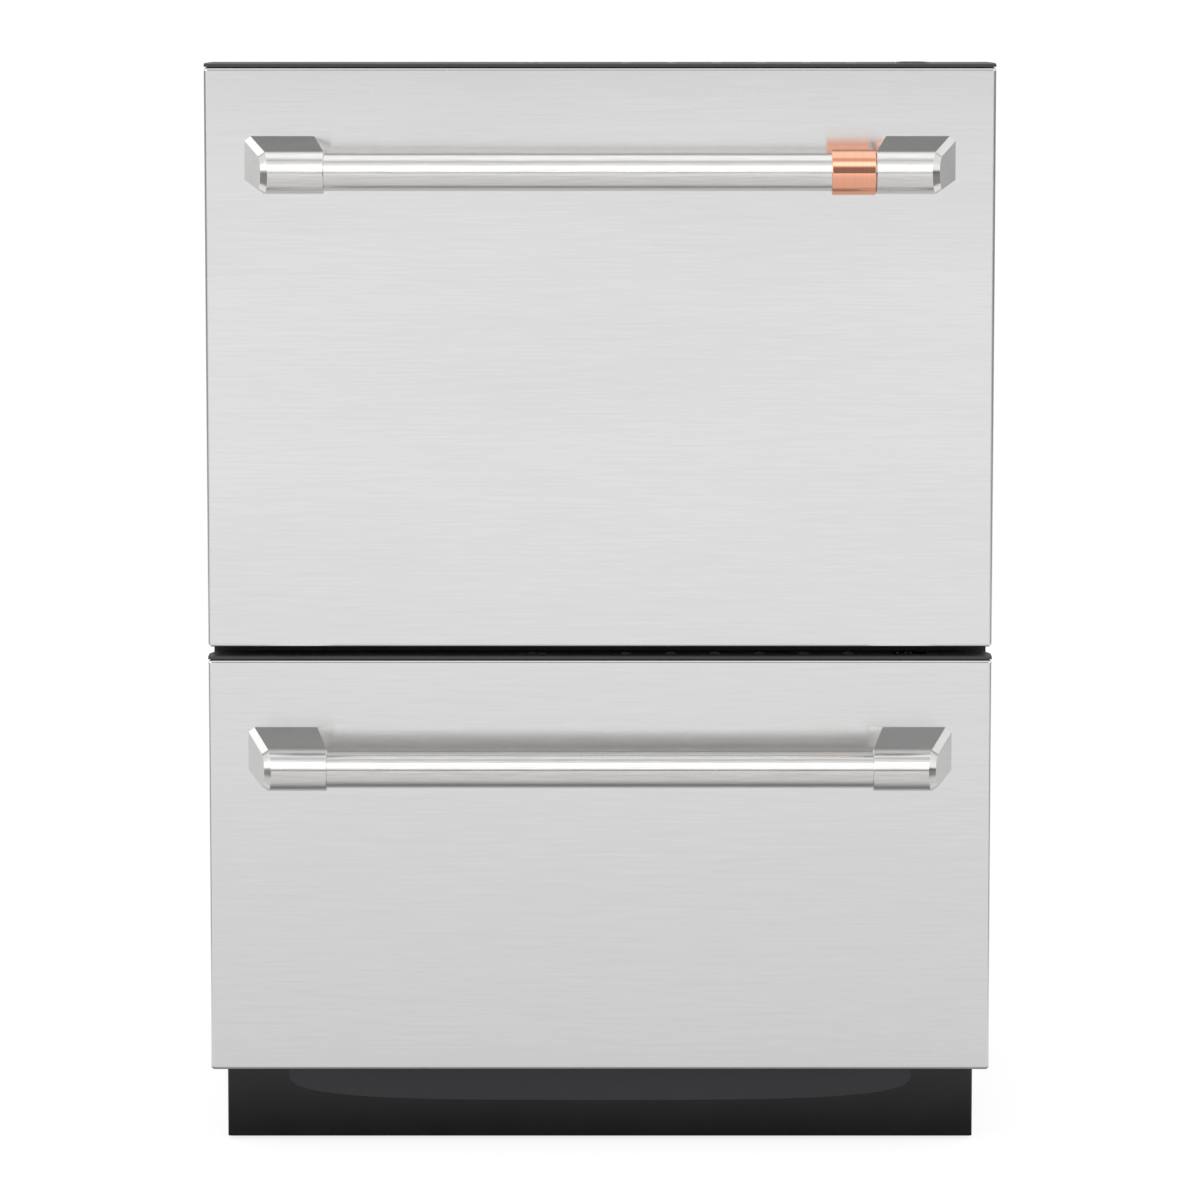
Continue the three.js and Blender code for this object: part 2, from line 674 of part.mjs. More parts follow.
// Cover of the detergent well, which slides aside between the ridges.
function dispenserLid(drawer) {
  const { middle, back } = dispenserSize(drawer);
  const { inset, long, half, thick, gripHalf, gripHigh, gripInset, gripWide } = DISPENSER_LID;
  const left = DISPENSER.left + inset;
  const right = left + long;
  const plate = block([left, right], [back + FIT, back + FIT + thick], [middle - half, middle + half]);
  const grip = block(
    [right - gripInset - gripWide, right - gripInset], [back + thick, back + gripHigh],
    [middle - gripHalf, middle + gripHalf],
  );
  return join(plate, grip);
}

// ---------------------------------------------------------------- drawer front

// The panel's outline drawn in by an inset, at a depth.
function panelRing(drawer, inset, y) {
  const { panelBottom, panelTop } = drawer;
  const halfZ = (panelTop - panelBottom) / 2 - inset;
  const halfX = FRONT_WIDTH / 2 - inset;
  return roundedRectangle(halfZ, halfX, SKIN_CORNER - inset, 3)
    .map(([z, x]) => new THREE.Vector3(x, y, (panelTop + panelBottom) / 2 + z));
}

// Folded stainless sheet: a pan with rounded corners, cut back along the top where the cap comes up.
function frontSkin(drawer) {
  const ring = (inset, depth) => panelRing(drawer, inset, FACE_Y + depth);
  const pan = loft([
    ring(SKIN_BEND, 0), ring(SKIN_BEND * 0.3, SKIN_BEND * 0.3), ring(0, SKIN_BEND),
    ring(0, SKIN_RETURN), ring(SKIN, SKIN_RETURN), ring(SKIN, SKIN),
  ]);
  const neckHalf = FRONT_WIDTH / 2 - NECK_INSET;
  const neck = block(
    [-neckHalf, neckHalf], [FACE_Y + TOP_FOLD, FACE_Y + SKIN_RETURN + 1],
    [drawer.panelTop - 2 * SKIN, drawer.panelTop + 1],
  );
  return cut(pan, neck);
}

const BUTTON = { x: 236, wide: 26, deep: 15, high: 11, below: 14, proud: 0.8, corner: 4 };
const FRONT_BACK_Y = FACE_Y + FRONT_DEPTH;
const BUTTON_Y = FACE_Y + 19;

// Plan of the cap: as wide as the panel, with its rear corners taken off.
function capOutline() {
  const half = FRONT_WIDTH / 2;
  const front = FACE_Y + 0.4;
  const [cutAcross, cutAlong] = [5, 16];
  const right = [
    [half - 1, front], [half, front + 1], [half, FRONT_BACK_Y - cutAlong], [half - cutAcross, FRONT_BACK_Y],
  ];
  return [...right, ...right.map(([x, y]) => [-x, y]).reverse()];
}

// Dark moulded carrier behind the stainless: a ribbed core that opens forwards, and the cap on top.
function frontFrame(drawer) {
  const { panelBottom, panelTop } = drawer;
  const inset = SKIN + FIT;
  const halfX = FRONT_WIDTH / 2 - inset;
  const [coreFront, coreBack] = [FACE_Y + inset, FRONT_BACK_Y];
  const [coreBottom, coreTop] = [panelBottom + inset, panelTop - inset];
  const core = loft([panelRing(drawer, inset, coreFront), panelRing(drawer, inset, coreBack)]);
  const neckHalf = FRONT_WIDTH / 2 - NECK_INSET - FIT;
  const neck = block(
    [-neckHalf, neckHalf], [FACE_Y + TOP_FOLD + FIT, coreBack], [coreTop - 1, panelTop + 1],
  );
  const capTop = panelTop + CAP_PROUD;
  const cap = raised(capOutline(), panelTop + FIT, capTop);
  const edge = 12;
  const backWall = 3;
  const pocketTop = coreTop - 24;
  const columns = 4;
  const cellWide = (2 * halfX - edge * (columns + 1)) / columns;
  const cells = Array.from({ length: columns }, (_, column) => {
    const x = -halfX + edge + column * (cellWide + edge);
    return block([x, x + cellWide], [coreFront - 1, coreBack - backWall], [coreBottom + edge, pocketTop]);
  });
  const socket = block(
    [BUTTON.x - BUTTON.wide / 2 - FIT, BUTTON.x + BUTTON.wide / 2 + FIT],
    [BUTTON_Y - BUTTON.deep / 2 - FIT, BUTTON_Y + BUTTON.deep / 2 + FIT],
    [capTop - BUTTON.below, capTop + 1],
  );
  return cut(join(core, neck, cap), ...cells, socket);
}

// Start button in the cap, a little proud of it.
function powerButton(drawer) {
  const capTop = drawer.panelTop + CAP_PROUD;
  const ring = (inset, z) => (
    roundedRectangle(BUTTON.wide / 2 - inset, BUTTON.deep / 2 - inset, BUTTON.corner, 3)
      .map(([x, y]) => new THREE.Vector3(BUTTON.x + x, BUTTON_Y + y, z))
  );
  return loft([ring(0, capTop - BUTTON.high), ring(0, capTop), ring(BUTTON.proud, capTop + BUTTON.proud)]);
}

function handlePlace(drawer) {
  const footZ = drawer.panelTop - HANDLE_BELOW_TOP;
  return { footZ, barY: FACE_Y - HANDLE_REACH, barZ: footZ - HANDLE_DROP };
}

// Section of a bracket across the machine's width: a round nose that runs back to a flat foot.
function bracketSection(inset) {
  const radius = COLLAR_RADIUS - inset;
  const foot = FOOT_HALF_HEIGHT - inset;
  const upperSlope = Math.atan2(foot + HANDLE_DROP - radius, HANDLE_REACH);
  const lowerSlope = Math.atan2(foot - HANDLE_DROP - radius, HANDLE_REACH);
  const steps = 14;
  const from = Math.PI / 2 + upperSlope;
  const to = 1.5 * Math.PI - lowerSlope;
  const nose = spread(from, to, steps + 1).map((angle) => (
    [-HANDLE_REACH + radius * Math.cos(angle), -HANDLE_DROP + radius * Math.sin(angle)]
  ));
  return [...nose, [-FIT, -foot], [-FIT, foot]];
}

// Bracket: straight across the collar, drawn in towards the bar on both sides, bevelled at its outer end.
function bracket(drawer, side) {
  const { footZ, barY, barZ } = handlePlace(drawer);
  const innerX = (y) => COLLAR_INNER_X + (FOOT_INNER_X - COLLAR_INNER_X) * Math.max(0, 1 + y / HANDLE_REACH);
  const outerX = (y) => FOOT_OUTER_X + (FOOT_OUTER_X - COLLAR_OUTER_X) * (y / HANDLE_REACH);
  const lip = 1;
  const place = (points, across) => points.map(([y, z]) => (
    new THREE.Vector3(side * across(y), FACE_Y + y, footZ + z)
  ));
  const rings = [
    place(bracketSection(lip), innerX),
    place(bracketSection(0), (y) => innerX(y) + lip),
    place(bracketSection(0), outerX),
    place(bracketSection(BEVEL_ACROSS), (y) => outerX(y) + BEVEL_OUT),
  ];
  const body = loft(side > 0 ? rings : rings.reverse());
  const [near, far] = [COLLAR_INNER_X - 5, COLLAR_INNER_X + BAR_SPIGOT + FIT].map((x) => x * side);
  const [from, to] = [Math.min(near, far), Math.max(near, far)];
  return cut(body, rodAlongX(BAR_RADIUS + FIT, from, to, barY, barZ, BAR_SIDES));
}

function handleBar(drawer) {
  const { barY, barZ } = handlePlace(drawer);
  const end = COLLAR_INNER_X + BAR_SPIGOT;
  return rodAlongX(BAR_RADIUS, -end, end, barY, barZ, BAR_SIDES);
}

// Bare polished band round the bar, against the right-hand bracket.
function copperBand(drawer) {
  const { barY, barZ } = handlePlace(drawer);
  const end = COLLAR_INNER_X - FIT;
  const start = end - BAND_LENGTH;
  const edge = 0.8;
  const ring = (radius, x) => Array.from({ length: BAR_SIDES }, (_, side) => {
    const angle = (side / BAR_SIDES) * 2 * Math.PI;
    return new THREE.Vector3(x, barY + radius * Math.cos(angle), barZ + radius * Math.sin(angle));
  });
  return loftRing([
    ring(BAR_RADIUS + FIT, start), ring(BAND_RADIUS - edge, start), ring(BAND_RADIUS, start + edge),
    ring(BAND_RADIUS, end - edge), ring(BAND_RADIUS - edge, end), ring(BAR_RADIUS + FIT, end),
  ]);
}

// ---------------------------------------------------------------- assembly

function addChassis() {
  add('casing', casing(), galvanised);
  add('rear_panel', rearPanel(), galvanised);
  add('base_tray', baseTray(), darkPlastic);
  add('mid_rail', midRail(), galvanised);
  add('toe_kick', toeKick(), blackGloss);
  add('hose_plate', hosePlate(), greyPlastic);
  add('terminal_box', terminalBox(), galvanised);
  const names = ['front_left', 'front_right', 'back_left', 'back_right'];
  legPlaces().forEach(([x, y], place) => add(`foot_${names[place]}`, levellingFoot(x, y), motorBlack));
}

function addBay(drawer) {
  const { name, rim, slideZ } = drawer;
  const lidBottom = rim + LID_TRAVEL + FIT + SEAL_HIGH;
  add(`${name}_lid`, lid(lidBottom), greyPlastic);
  add(`${name}_lid_seal`, lidSeal(lidBottom), seal);
  add(`${name}_lid_lifter`, lidLifter(lidBottom), motorBlack);
  [['left', -1], ['right', 1]].forEach(([hand, side]) => {
    add(`${name}_outer_slide_${hand}`, channel(OUTER_MEMBER, side, slideZ), slideSteel);
    add(`${name}_mid_slide_${hand}`, channel(MID_MEMBER, side, slideZ), slideSteel);
  });
}

function addDrawer(drawer) {
  const { name, slideZ } = drawer;
  add(`${name}_tub`, tub(drawer), tubPlastic);
  add(`${name}_filter_plate`, filterPlate(drawer), greyPlastic);
  add(`${name}_spray_arm`, sprayArm(drawer), greyPlastic);
  add(`${name}_wash_motor`, washMotor(drawer), motorBlack);
  add(`${name}_rack`, rack(drawer), rackCoat);
  add(`${name}_folding_tines`, foldingTines(drawer), rackCoat);
  add(`${name}_dispenser`, dispenser(drawer), greyPlastic);
  add(`${name}_dispenser_lid`, dispenserLid(drawer), darkPlastic);
  add(`${name}_front_skin`, frontSkin(drawer), stainless);
  add(`${name}_front_frame`, frontFrame(drawer), darkPlastic);
  add(`${name}_power_button`, powerButton(drawer), blackGloss);
  add(`${name}_handle_bar`, handleBar(drawer), satinMetal);
  [['left', -1], ['right', 1]].forEach(([hand, side]) => {
    add(`${name}_bracket_${hand}`, bracket(drawer, side), satinMetal);
    add(`${name}_inner_slide_${hand}`, channel(INNER_MEMBER, side, slideZ), slideSteel);
  });
}

addChassis();
DRAWERS.forEach((drawer) => {
  addBay(drawer);
  addDrawer(drawer);
});
add('copper_band', copperBand(DRAWERS[0]), copper);
add('cutlery_basket', cutleryBasket(DRAWERS[0]), greyPlastic);

export default machine;
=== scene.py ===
"""Dresses a two-drawer dishwasher: every visible piece, its finish, and a plain studio round it."""
import json
import math

import bmesh
import bpy
from bpy.props import FloatProperty, FloatVectorProperty, PointerProperty
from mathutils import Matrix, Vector


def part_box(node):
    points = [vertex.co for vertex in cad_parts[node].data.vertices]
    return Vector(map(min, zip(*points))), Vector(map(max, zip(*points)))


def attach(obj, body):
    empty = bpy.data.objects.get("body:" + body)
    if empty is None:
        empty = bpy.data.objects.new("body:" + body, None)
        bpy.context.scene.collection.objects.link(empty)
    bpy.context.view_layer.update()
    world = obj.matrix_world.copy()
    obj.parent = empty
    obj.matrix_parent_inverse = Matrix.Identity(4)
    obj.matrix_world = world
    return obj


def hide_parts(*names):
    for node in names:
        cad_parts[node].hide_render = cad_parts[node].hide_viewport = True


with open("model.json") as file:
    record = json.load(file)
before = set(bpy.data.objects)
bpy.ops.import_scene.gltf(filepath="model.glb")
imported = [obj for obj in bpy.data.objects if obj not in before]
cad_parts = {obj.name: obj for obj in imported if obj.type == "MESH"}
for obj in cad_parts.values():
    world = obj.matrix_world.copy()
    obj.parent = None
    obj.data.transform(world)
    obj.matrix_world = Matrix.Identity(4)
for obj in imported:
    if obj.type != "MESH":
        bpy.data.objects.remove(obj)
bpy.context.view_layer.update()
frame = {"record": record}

bl_info = {
    "name": "Two-Drawer Dishwasher",
    "version": (1, 0, 0),
    "blender": (4, 5, 0),
    "location": "View3D > Sidebar > Dishwasher",
    "description": "Builds the visible pieces of a two-drawer dishwasher around its frame",
    "category": "Object",
}

MM = 0.001  # shapes are drawn in millimetres
BODY_OF = {node: body for body, nodes in frame["record"]["behaviour"]["bodies"].items() for node in nodes}
DRAWERS = ("upper", "lower")
HANDS = {"left": -1, "right": 1}
X, Y, Z = 0, 1, 2


def reach(node):
    """The lowest and highest corners of a node of the frame, in millimetres."""
    low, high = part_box(node)
    return low / MM, high / MM


def outline_of(node, u=X, v=Y):
    """Corners of a node, then the middle and the half sizes of its outline across two axes."""
    low, high = reach(node)
    middle = ((low[u] + high[u]) / 2, (low[v] + high[v]) / 2)
    return low, high, middle, (high[u] - low[u]) / 2, (high[v] - low[v]) / 2


# ---------------------------------------------------------------- outlines and paths

def circle(radius, sides=48):
    """Points of a circle about the origin."""
    turns = [2 * math.pi * side / sides for side in range(sides)]
    return [(radius * math.cos(turn), radius * math.sin(turn)) for turn in turns]


def rounded(half_u, half_v, radius, steps=6):
    """Points of a rounded rectangle about the origin, anticlockwise."""
    radius = max(min(radius, half_u * 0.98, half_v * 0.98), 0.01)
    points = []
    for corner, (sign_u, sign_v) in enumerate(((1, 1), (-1, 1), (-1, -1), (1, -1))):
        for step in range(steps + 1):
            turn = (corner + step / steps) * math.pi / 2
            points.append((sign_u * (half_u - radius) + radius * math.cos(turn),
                           sign_v * (half_v - radius) + radius * math.sin(turn)))
    return points


def fillet(path, radius, steps=5):
    """A path of points with its inner corners rounded."""
    path = [Vector(point) for point in path]
    line = [path[0]]
    for before, corner, after in zip(path, path[1:], path[2:]):
        back, onward = before - corner, after - corner
        room = 0.49 * min(back.length, onward.length)
        back.normalize()
        onward.normalize()
        half = back.angle(onward) / 2
        turn = math.pi - 2 * half
        if turn < 0.02:
            line.append(corner)
            continue
        away = min(radius / math.tan(half), room)
        centre = corner + (back + onward).normalized() * away / math.cos(half)
        first, last = corner + back * away - centre, corner + onward * away - centre
        for step in range(steps + 1):
            share = step / steps
            line.append(centre + (first * math.sin((1 - share) * turn) + last * math.sin(share * turn))
                        / math.sin(turn))
    return line + [path[-1]]


def sheet_outline(path, thick, bend, steps=5):
    """Outline of sheet metal that follows a flat path, its middle line, with rounded bends."""
    line = fillet([(u, v, 0) for u, v in path], bend, steps)
    left, right = [], []
    for place, point in enumerate(line):
        along = (line[min(place + 1, len(line) - 1)] - line[max(place - 1, 0)]).normalized()
        across = Vector((-along.y, along.x, 0)) * thick / 2
        left.append((point + across).to_2d())
        right.append((point - across).to_2d())
    return left + right[::-1]


def spread(start, end, count):
    """Evenly spaced numbers, both ends included."""
    return [start + (end - start) * place / (count - 1) for place in range(count)]


def around(middle, half):
    """A range with that middle and half of its length."""
    return middle - half, middle + half


def ordered(one, other):
    """A range between two numbers that come in either order."""
    return min(one, other), max(one, other)


def spoke(turn, half_width=0.0):
    """The way outwards at a turn about Z, and half of a spoke's width across it."""
    out = Vector((math.cos(turn), math.sin(turn), 0))
    return out, Vector((-out.y, out.x, 0)) * half_width


def drawn_in(half_u, half_v, rows, steps=8):
    """Layers of a rounded body, from rows of (place along the axis, inset, corner radius)."""
    return [(along, rounded(half_u - inset, half_v - inset, radius, steps)) for along, inset, radius in rows]


# ---------------------------------------------------------------- shapes

class Shape:
    """A mesh drawn in millimetres out of closed bodies."""

    def __init__(self):
        self.points = []
        self.faces = []

    def loft(self, rings, loop=False):
        """A body over a stack of rings with equal counts. With loop, the last ring joins the first."""
        start, count = len(self.points), len(rings[0])
        for ring in rings:
            self.points.extend(Vector(point) for point in ring)
        for stack in range(len(rings) if loop else len(rings) - 1):
            here = start + stack * count
            there = start + (stack + 1) % len(rings) * count
            for side in range(count):
                after = (side + 1) % count
                self.faces.append((here + side, here + after, there + after, there + side))
        if not loop:
            last = start + (len(rings) - 1) * count
            self.faces.append(tuple(range(start + count - 1, start - 1, -1)))
            self.faces.append(tuple(range(last, last + count)))
        return self

    def stack(self, axis, layers, centre=(0, 0)):
        """A body over flat outlines, given as (place along the axis, outline) from end to end."""
        def place(u, v, along):
            point = [centre[0] + u, centre[1] + v]
            point.insert(axis, along)
            return point
        return self.loft([[place(u, v, along) for u, v in outline] for along, outline in layers])

    def prism(self, axis, outline, start, end, centre=(0, 0)):
        """A flat outline pushed along an axis."""
        return self.stack(axis, [(start, outline), (end, outline)], centre)

    def block(self, x, y, z, radius=0.0, axis=Z):
        """A box over three ranges, with its edges along one axis rounded."""
        ranges = [x, y, z]
        start, end = ranges.pop(axis)
        (u0, u1), (v0, v1) = ranges
        outline = rounded((u1 - u0) / 2, (v1 - v0) / 2, radius, 1 if radius < 0.2 else 5)
        return self.prism(axis, outline, start, end, ((u0 + u1) / 2, (v0 + v1) / 2))

    def turned(self, axis, profile, centre, sides=48):
        """A body turned about an axis: the profile is a list of (radius, place along the axis)."""
        layers = [(along, circle(max(radius, 0.02), sides)) for radius, along in profile]
        return self.stack(axis, layers, centre)

    def ring(self, axis, profile, centre, sides=48):
        """A turned body that closes on itself, with a hole in the middle."""
        start = len(self.points)
        self.turned(axis, profile, centre, sides)
        del self.faces[-2:]
        last = start + (len(profile) - 1) * sides
        for side in range(sides):
            after = (side + 1) % sides
            self.faces.append((last + side, last + after, start + after, start + side))
        return self

    def tube(self, path, radius, sides=8, loop=False, tip=False):
        """A round wire along a path. With tip, its far end is rounded."""
        path = [Vector(point) for point in path]
        if tip:
            onward = (path[-1] - path[-2]).normalized()
            path += [path[-1] + onward * radius * 0.6, path[-1] + onward * radius * 0.95]
        side_way = (path[1] - path[0]).orthogonal().normalized()
        rings = []
        for place, point in enumerate(path):
            before = path[place - 1] if loop or place else path[0]
            after = path[(place + 1) % len(path)] if loop or place < len(path) - 1 else path[-1]
            along = (after - before).normalized()
            side_way = (side_way - along * side_way.dot(along)).normalized()
            up = along.cross(side_way)
            size = radius
            if tip and place >= len(path) - 2:
                size *= 0.8 if place == len(path) - 2 else 0.35
            rings.append([point + side_way * u + up * v for u, v in circle(size, sides)])
        return self.loft(rings, loop)

    def pad(self, axis, centre, half_u, half_v, base, top, radius=8, slope=1.5):
        """A low pressed bead: a rounded rectangle with sloping sides."""
        wide = rounded(half_u, half_v, radius, 5)
        mid = rounded(half_u - slope * 0.5, half_v - slope * 0.5, radius, 5)
        narrow = rounded(half_u - slope, half_v - slope, radius, 5)
        crown = rounded(half_u - slope * 1.4, half_v - slope * 1.4, radius, 5)
        rise = top - base
        return self.stack(axis, [(base, wide), (base + rise * 0.15, wide), (base + rise * 0.55, mid),
                                 (base + rise * 0.95, narrow), (top, crown)], centre)


def as_mesh(name, shape):
    """A mesh in metres from a shape, with every closed body facing outwards."""
    mesh = bpy.data.meshes.new(name)
    mesh.from_pydata([point * MM for point in shape.points], [], shape.faces)
    work = bmesh.new()
    work.from_mesh(mesh)
    bmesh.ops.remove_doubles(work, verts=work.verts, dist=1e-7)
    bmesh.ops.recalc_face_normals(work, faces=work.faces)
    work.to_mesh(mesh)
    work.free()
    return mesh


def new_object(name, mesh):
    """An object in the scene."""
    piece = bpy.data.objects.new(name, mesh)
    bpy.context.scene.collection.objects.link(piece)
    return piece


def settle(piece):
    """Takes the result of the modifiers into the mesh and clears them."""
    view = bpy.context.evaluated_depsgraph_get()
    mesh = bpy.data.meshes.new_from_object(piece.evaluated_get(view))
    piece.modifiers.clear()
    piece.data = mesh


def carve(piece, cutters):
    """Cuts a list of shapes out of a piece, one after another."""
    for cutter in cutters:
        tool = new_object("cutter", as_mesh("cutter", cutter))
        cut = piece.modifiers.new("cut", "BOOLEAN")
        cut.operation = "DIFFERENCE"
        cut.solver = "MANIFOLD"
        cut.object = tool
        bpy.context.view_layer.update()
        settle(piece)
        bpy.data.objects.remove(tool)


def make(name, shape, finish, node, cutters=(), edge=0.4, smooth=35, slot=None):
    """Makes a piece that stands for a node of the frame and moves with its body.

    The slot argument is not used. Edge is the width of its soft edges in
    millimetres, and smooth the angle in degrees from which an edge is sharp.
    """
    slot = slot or finish
    piece = new_object(name, as_mesh(name, shape))
    carve(piece, cutters)
    piece.data.polygons.foreach_set("use_smooth", [True] * len(piece.data.polygons))
    piece.data.set_sharp_from_angle(angle=math.radians(smooth))
    if edge:
        bevel = piece.modifiers.new("soft_edges", "BEVEL")
        bevel.width = edge * MM
        bevel.segments = 2
        bevel.limit_method = "ANGLE"
        bevel.angle_limit = math.radians(smooth)
    even = piece.modifiers.new("even_faces", "WEIGHTED_NORMAL")
    even.keep_sharp = True
    piece.data.materials.clear()
    piece.data.materials.append(finish_by_name(finish))
    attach(piece, BODY_OF[node])
    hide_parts(node)
    return piece


def add_screws(name, node, places, base, radius=3.2):
    """Pan-head screws with round sockets on a face towards +Y, at places given as (x, z)."""
    high = radius * 0.55
    head = [(radius * 1.35, base), (radius * 1.35, base + high * 0.25), (radius, base + high * 0.3),
            (radius * 0.96, base + high * 0.75), (radius * 0.7, base + high),
            (radius * 0.42, base + high * 1.02), (radius * 0.36, base + high * 0.5)]
    screws = Shape()
    for place in places:
        screws.turned(Y, head, place, 20)
    make(name, screws, "slide_steel", node, edge=0)


# ---------------------------------------------------------------- finishes

class Finish:
    """A procedural material being made: its shader, and the patterns that feed it."""

    def __init__(self, name, colour, roughness, metallic=0.0, **values):
        self.material = bpy.data.materials.new(name)
        self.material.use_nodes = True
        self.nodes = self.material.node_tree.nodes
        self.links = self.material.node_tree.links
        self.shader = self.nodes["Principled BSDF"]
        self.colour = colour
        settings = {"Base Color": (*colour, 1), "Roughness": roughness, "Metallic": metallic, **values}
        for socket, value in settings.items():
            self.shader.inputs[socket].default_value = value
        self.place = self.nodes.new("ShaderNodeTexCoord").outputs["Object"]
        self.height = None

    def pattern(self, kind="Noise", stretch=(1, 1, 1), output=0, **values):
        """A texture over the object's own coordinates, in metres times the stretch."""
        mapping = self.nodes.new("ShaderNodeMapping")
        mapping.inputs["Scale"].default_value = stretch
        texture = self.nodes.new(f"ShaderNodeTex{kind}")
        for socket, value in values.items():
            texture.inputs[socket].default_value = value
        self.links.new(self.place, mapping.inputs["Vector"])
        self.links.new(mapping.outputs["Vector"], texture.inputs["Vector"])
        return texture.outputs[output]

    def tint(self, source, dark, light, low=0.3, high=0.7):
        """Varies the colour between two strengths of itself, or two colours, over a pattern."""
        ramp = self.nodes.new("ShaderNodeValToRGB")
        for element, place, value in zip(ramp.color_ramp.elements, (low, high), (dark, light)):
            element.position = place
            colour = value if isinstance(value, tuple) else tuple(value * channel for channel in self.colour)
            element.color = (*colour, 1)
        self.links.new(source, ramp.inputs["Fac"])
        self.links.new(ramp.outputs["Color"], self.shader.inputs["Base Color"])
        return self

    def rough(self, source, low, high):
        """Varies the roughness over a pattern."""
        limits = self.nodes.new("ShaderNodeMapRange")
        limits.inputs["From Min"].default_value = 0.25
        limits.inputs["From Max"].default_value = 0.75
        limits.inputs["To Min"].default_value = low
        limits.inputs["To Max"].default_value = high
        self.links.new(source, limits.inputs["Value"])
        self.links.new(limits.outputs["Result"], self.shader.inputs["Roughness"])
        return self

    def bump(self, source, strength, depth):
        """Adds relief, its depth in millimetres, on top of what is there."""
        bump = self.nodes.new("ShaderNodeBump")
        bump.inputs["Strength"].default_value = strength
        bump.inputs["Distance"].default_value = depth * MM
        self.links.new(source, bump.inputs["Height"])
        if self.height:
            self.links.new(self.height, bump.inputs["Normal"])
        self.height = bump.outputs["Normal"]
        self.links.new(self.height, self.shader.inputs["Normal"])
        return self

    def brushed_along_x(self):
        """Spreads the gloss across brush lines that run along X."""
        tangent = self.nodes.new("ShaderNodeTangent")
        tangent.direction_type = "RADIAL"
        tangent.axis = "X"
        self.links.new(tangent.outputs["Tangent"], self.shader.inputs["Tangent"])
        return self


def finish_by_name(name):
    """The finish of that name, made when it is first asked for.

    Its label is longer than the name, because the frame's own materials have the bare names.
    """
    label = f"{name}_finish"
    return bpy.data.materials.get(label) or FINISHES[name](label, bpy.context.scene.dishwasher_finishes)


def stainless(name, look):
    """Sheet with long fine brush lines."""
    made = Finish(name, look.stainless, 0.13, 1.0, Anisotropic=0.9)
    lines = made.pattern(stretch=(24, 900, 900), Scale=1.0, Detail=3.0)
    bands = made.pattern(stretch=(2.5, 14, 14), Scale=1.0, Detail=2.0)
    made.tint(lines, 0.975, 1.018).rough(bands, 0.12, 0.14).bump(lines, 0.015, 0.01)
    return made.brushed_along_x().material


def satin(name, look):
    """Cast and turned handle metal, finely ground along its length."""
    made = Finish(name, look.handle, 0.15, 1.0, Anisotropic=0.6)
    lines = made.pattern(stretch=(40, 1100, 1100), Scale=1.0, Detail=3.0)
    cloud = made.pattern(stretch=(14, 40, 40), Scale=1.0, Detail=2.0)
    made.tint(lines, 0.9, 1.05).rough(cloud, 0.13, 0.17).bump(lines, 0.03, 0.01)
    return made.brushed_along_x().material


def copper(name, look):
    """Polished copper with the faintest turning marks."""
    made = Finish(name, look.copper, 0.06, 1.0)
    marks = made.pattern(stretch=(900, 12, 12), Scale=1.0, Detail=2.0)
    made.tint(marks, 0.96, 1.03).rough(marks, 0.05, 0.08).bump(marks, 0.03, 0.02)
    return made.material


def galvanised(name, look):
    """Zinc-coated sheet with spangle."""
    made = Finish(name, look.galvanised, 0.42, 1.0)
    spangle = made.pattern("Voronoi", (1, 1, 1), 1, Scale=85.0)
    cloud = made.pattern(stretch=(1, 1, 1), Scale=9.0, Detail=4.0)
    made.tint(spangle, 0.86, 1.08, 0.1, 0.9).rough(cloud, 0.34, 0.5).bump(spangle, 0.1, 0.04)
    return made.material


def slide_steel(name, look):
    """Zinc-plated running steel with drawn lines along Y."""
    made = Finish(name, look.slide, 0.3, 1.0)
    lines = made.pattern(stretch=(700, 5, 700), Scale=1.0, Detail=3.0)
    cloud = made.pattern(stretch=(20, 6, 20), Scale=1.0, Detail=3.0)
    made.tint(cloud, 0.88, 1.06).rough(lines, 0.24, 0.4).bump(lines, 0.1, 0.04)
    return made.material


def moulded(colour_name, roughness, grain, deep, speck=0.05, **values):
    """A maker of moulded plastics: grain is its texture's fineness, deep its relief in millimetres."""
    def build(name, look):
        made = Finish(name, getattr(look, colour_name), roughness, 0.0, **values)
        leather = made.pattern(Scale=grain, Detail=3.0, Roughness=0.6)
        cloud = made.pattern(Scale=14.0, Detail=3.0)
        made.tint(cloud, 1 - speck, 1 + speck).rough(cloud, roughness * 0.9, roughness * 1.12)
        return made.bump(leather, 0.35, deep).material
    return build


def speckled(name, look):
    """Pale tub plastic with fine mineral specks."""
    made = Finish(name, look.tub, 0.36, 0.0)
    specks = made.pattern(Scale=900.0, Detail=1.0)
    cloud = made.pattern(Scale=8.0, Detail=3.0)
    made.tint(specks, 0.84, 1.03, 0.36, 0.5).rough(cloud, 0.32, 0.42).bump(specks, 0.2, 0.05)
    return made.material


def piano_black(name, look):
    """Glossy black with a trace of orange peel."""
    made = Finish(name, look.gloss, 0.14, 0.0)
    peel = made.pattern(Scale=260.0, Detail=1.0)
    dust = made.pattern(Scale=24.0, Detail=5.0)
    made.tint(dust, 0.8, 1.25).rough(dust, 0.12, 0.2).bump(peel, 0.05, 0.03)
    return made.material


FINISHES = {
    "stainless": stainless,
    "satin_metal": satin,
    "copper": copper,
    "galvanised": galvanised,
    "slide_steel": slide_steel,
    "dark_plastic": moulded("dark", 0.5, 900.0, 0.12),
    "black_plastic": moulded("black", 0.55, 700.0, 0.12),
    "grey_plastic": moulded("grey", 0.46, 800.0, 0.08),
    "pale_plastic": moulded("pale", 0.4, 800.0, 0.06),
    "rack_coat": moulded("coat", 0.38, 300.0, 0.08, 0.04),
    "seal_rubber": moulded("rubber", 0.78, 500.0, 0.1, 0.1),
    # Finish of the kick plate's raised oval: its lighter black is a painted reflection of the floor; the relief
    # and the rougher finish are real.
    "satin_black": moulded("relief", 0.4, 800.0, 0.03),
    "tub_plastic": speckled,
    "black_gloss": piano_black,
}


# ---------------------------------------------------------------- fronts

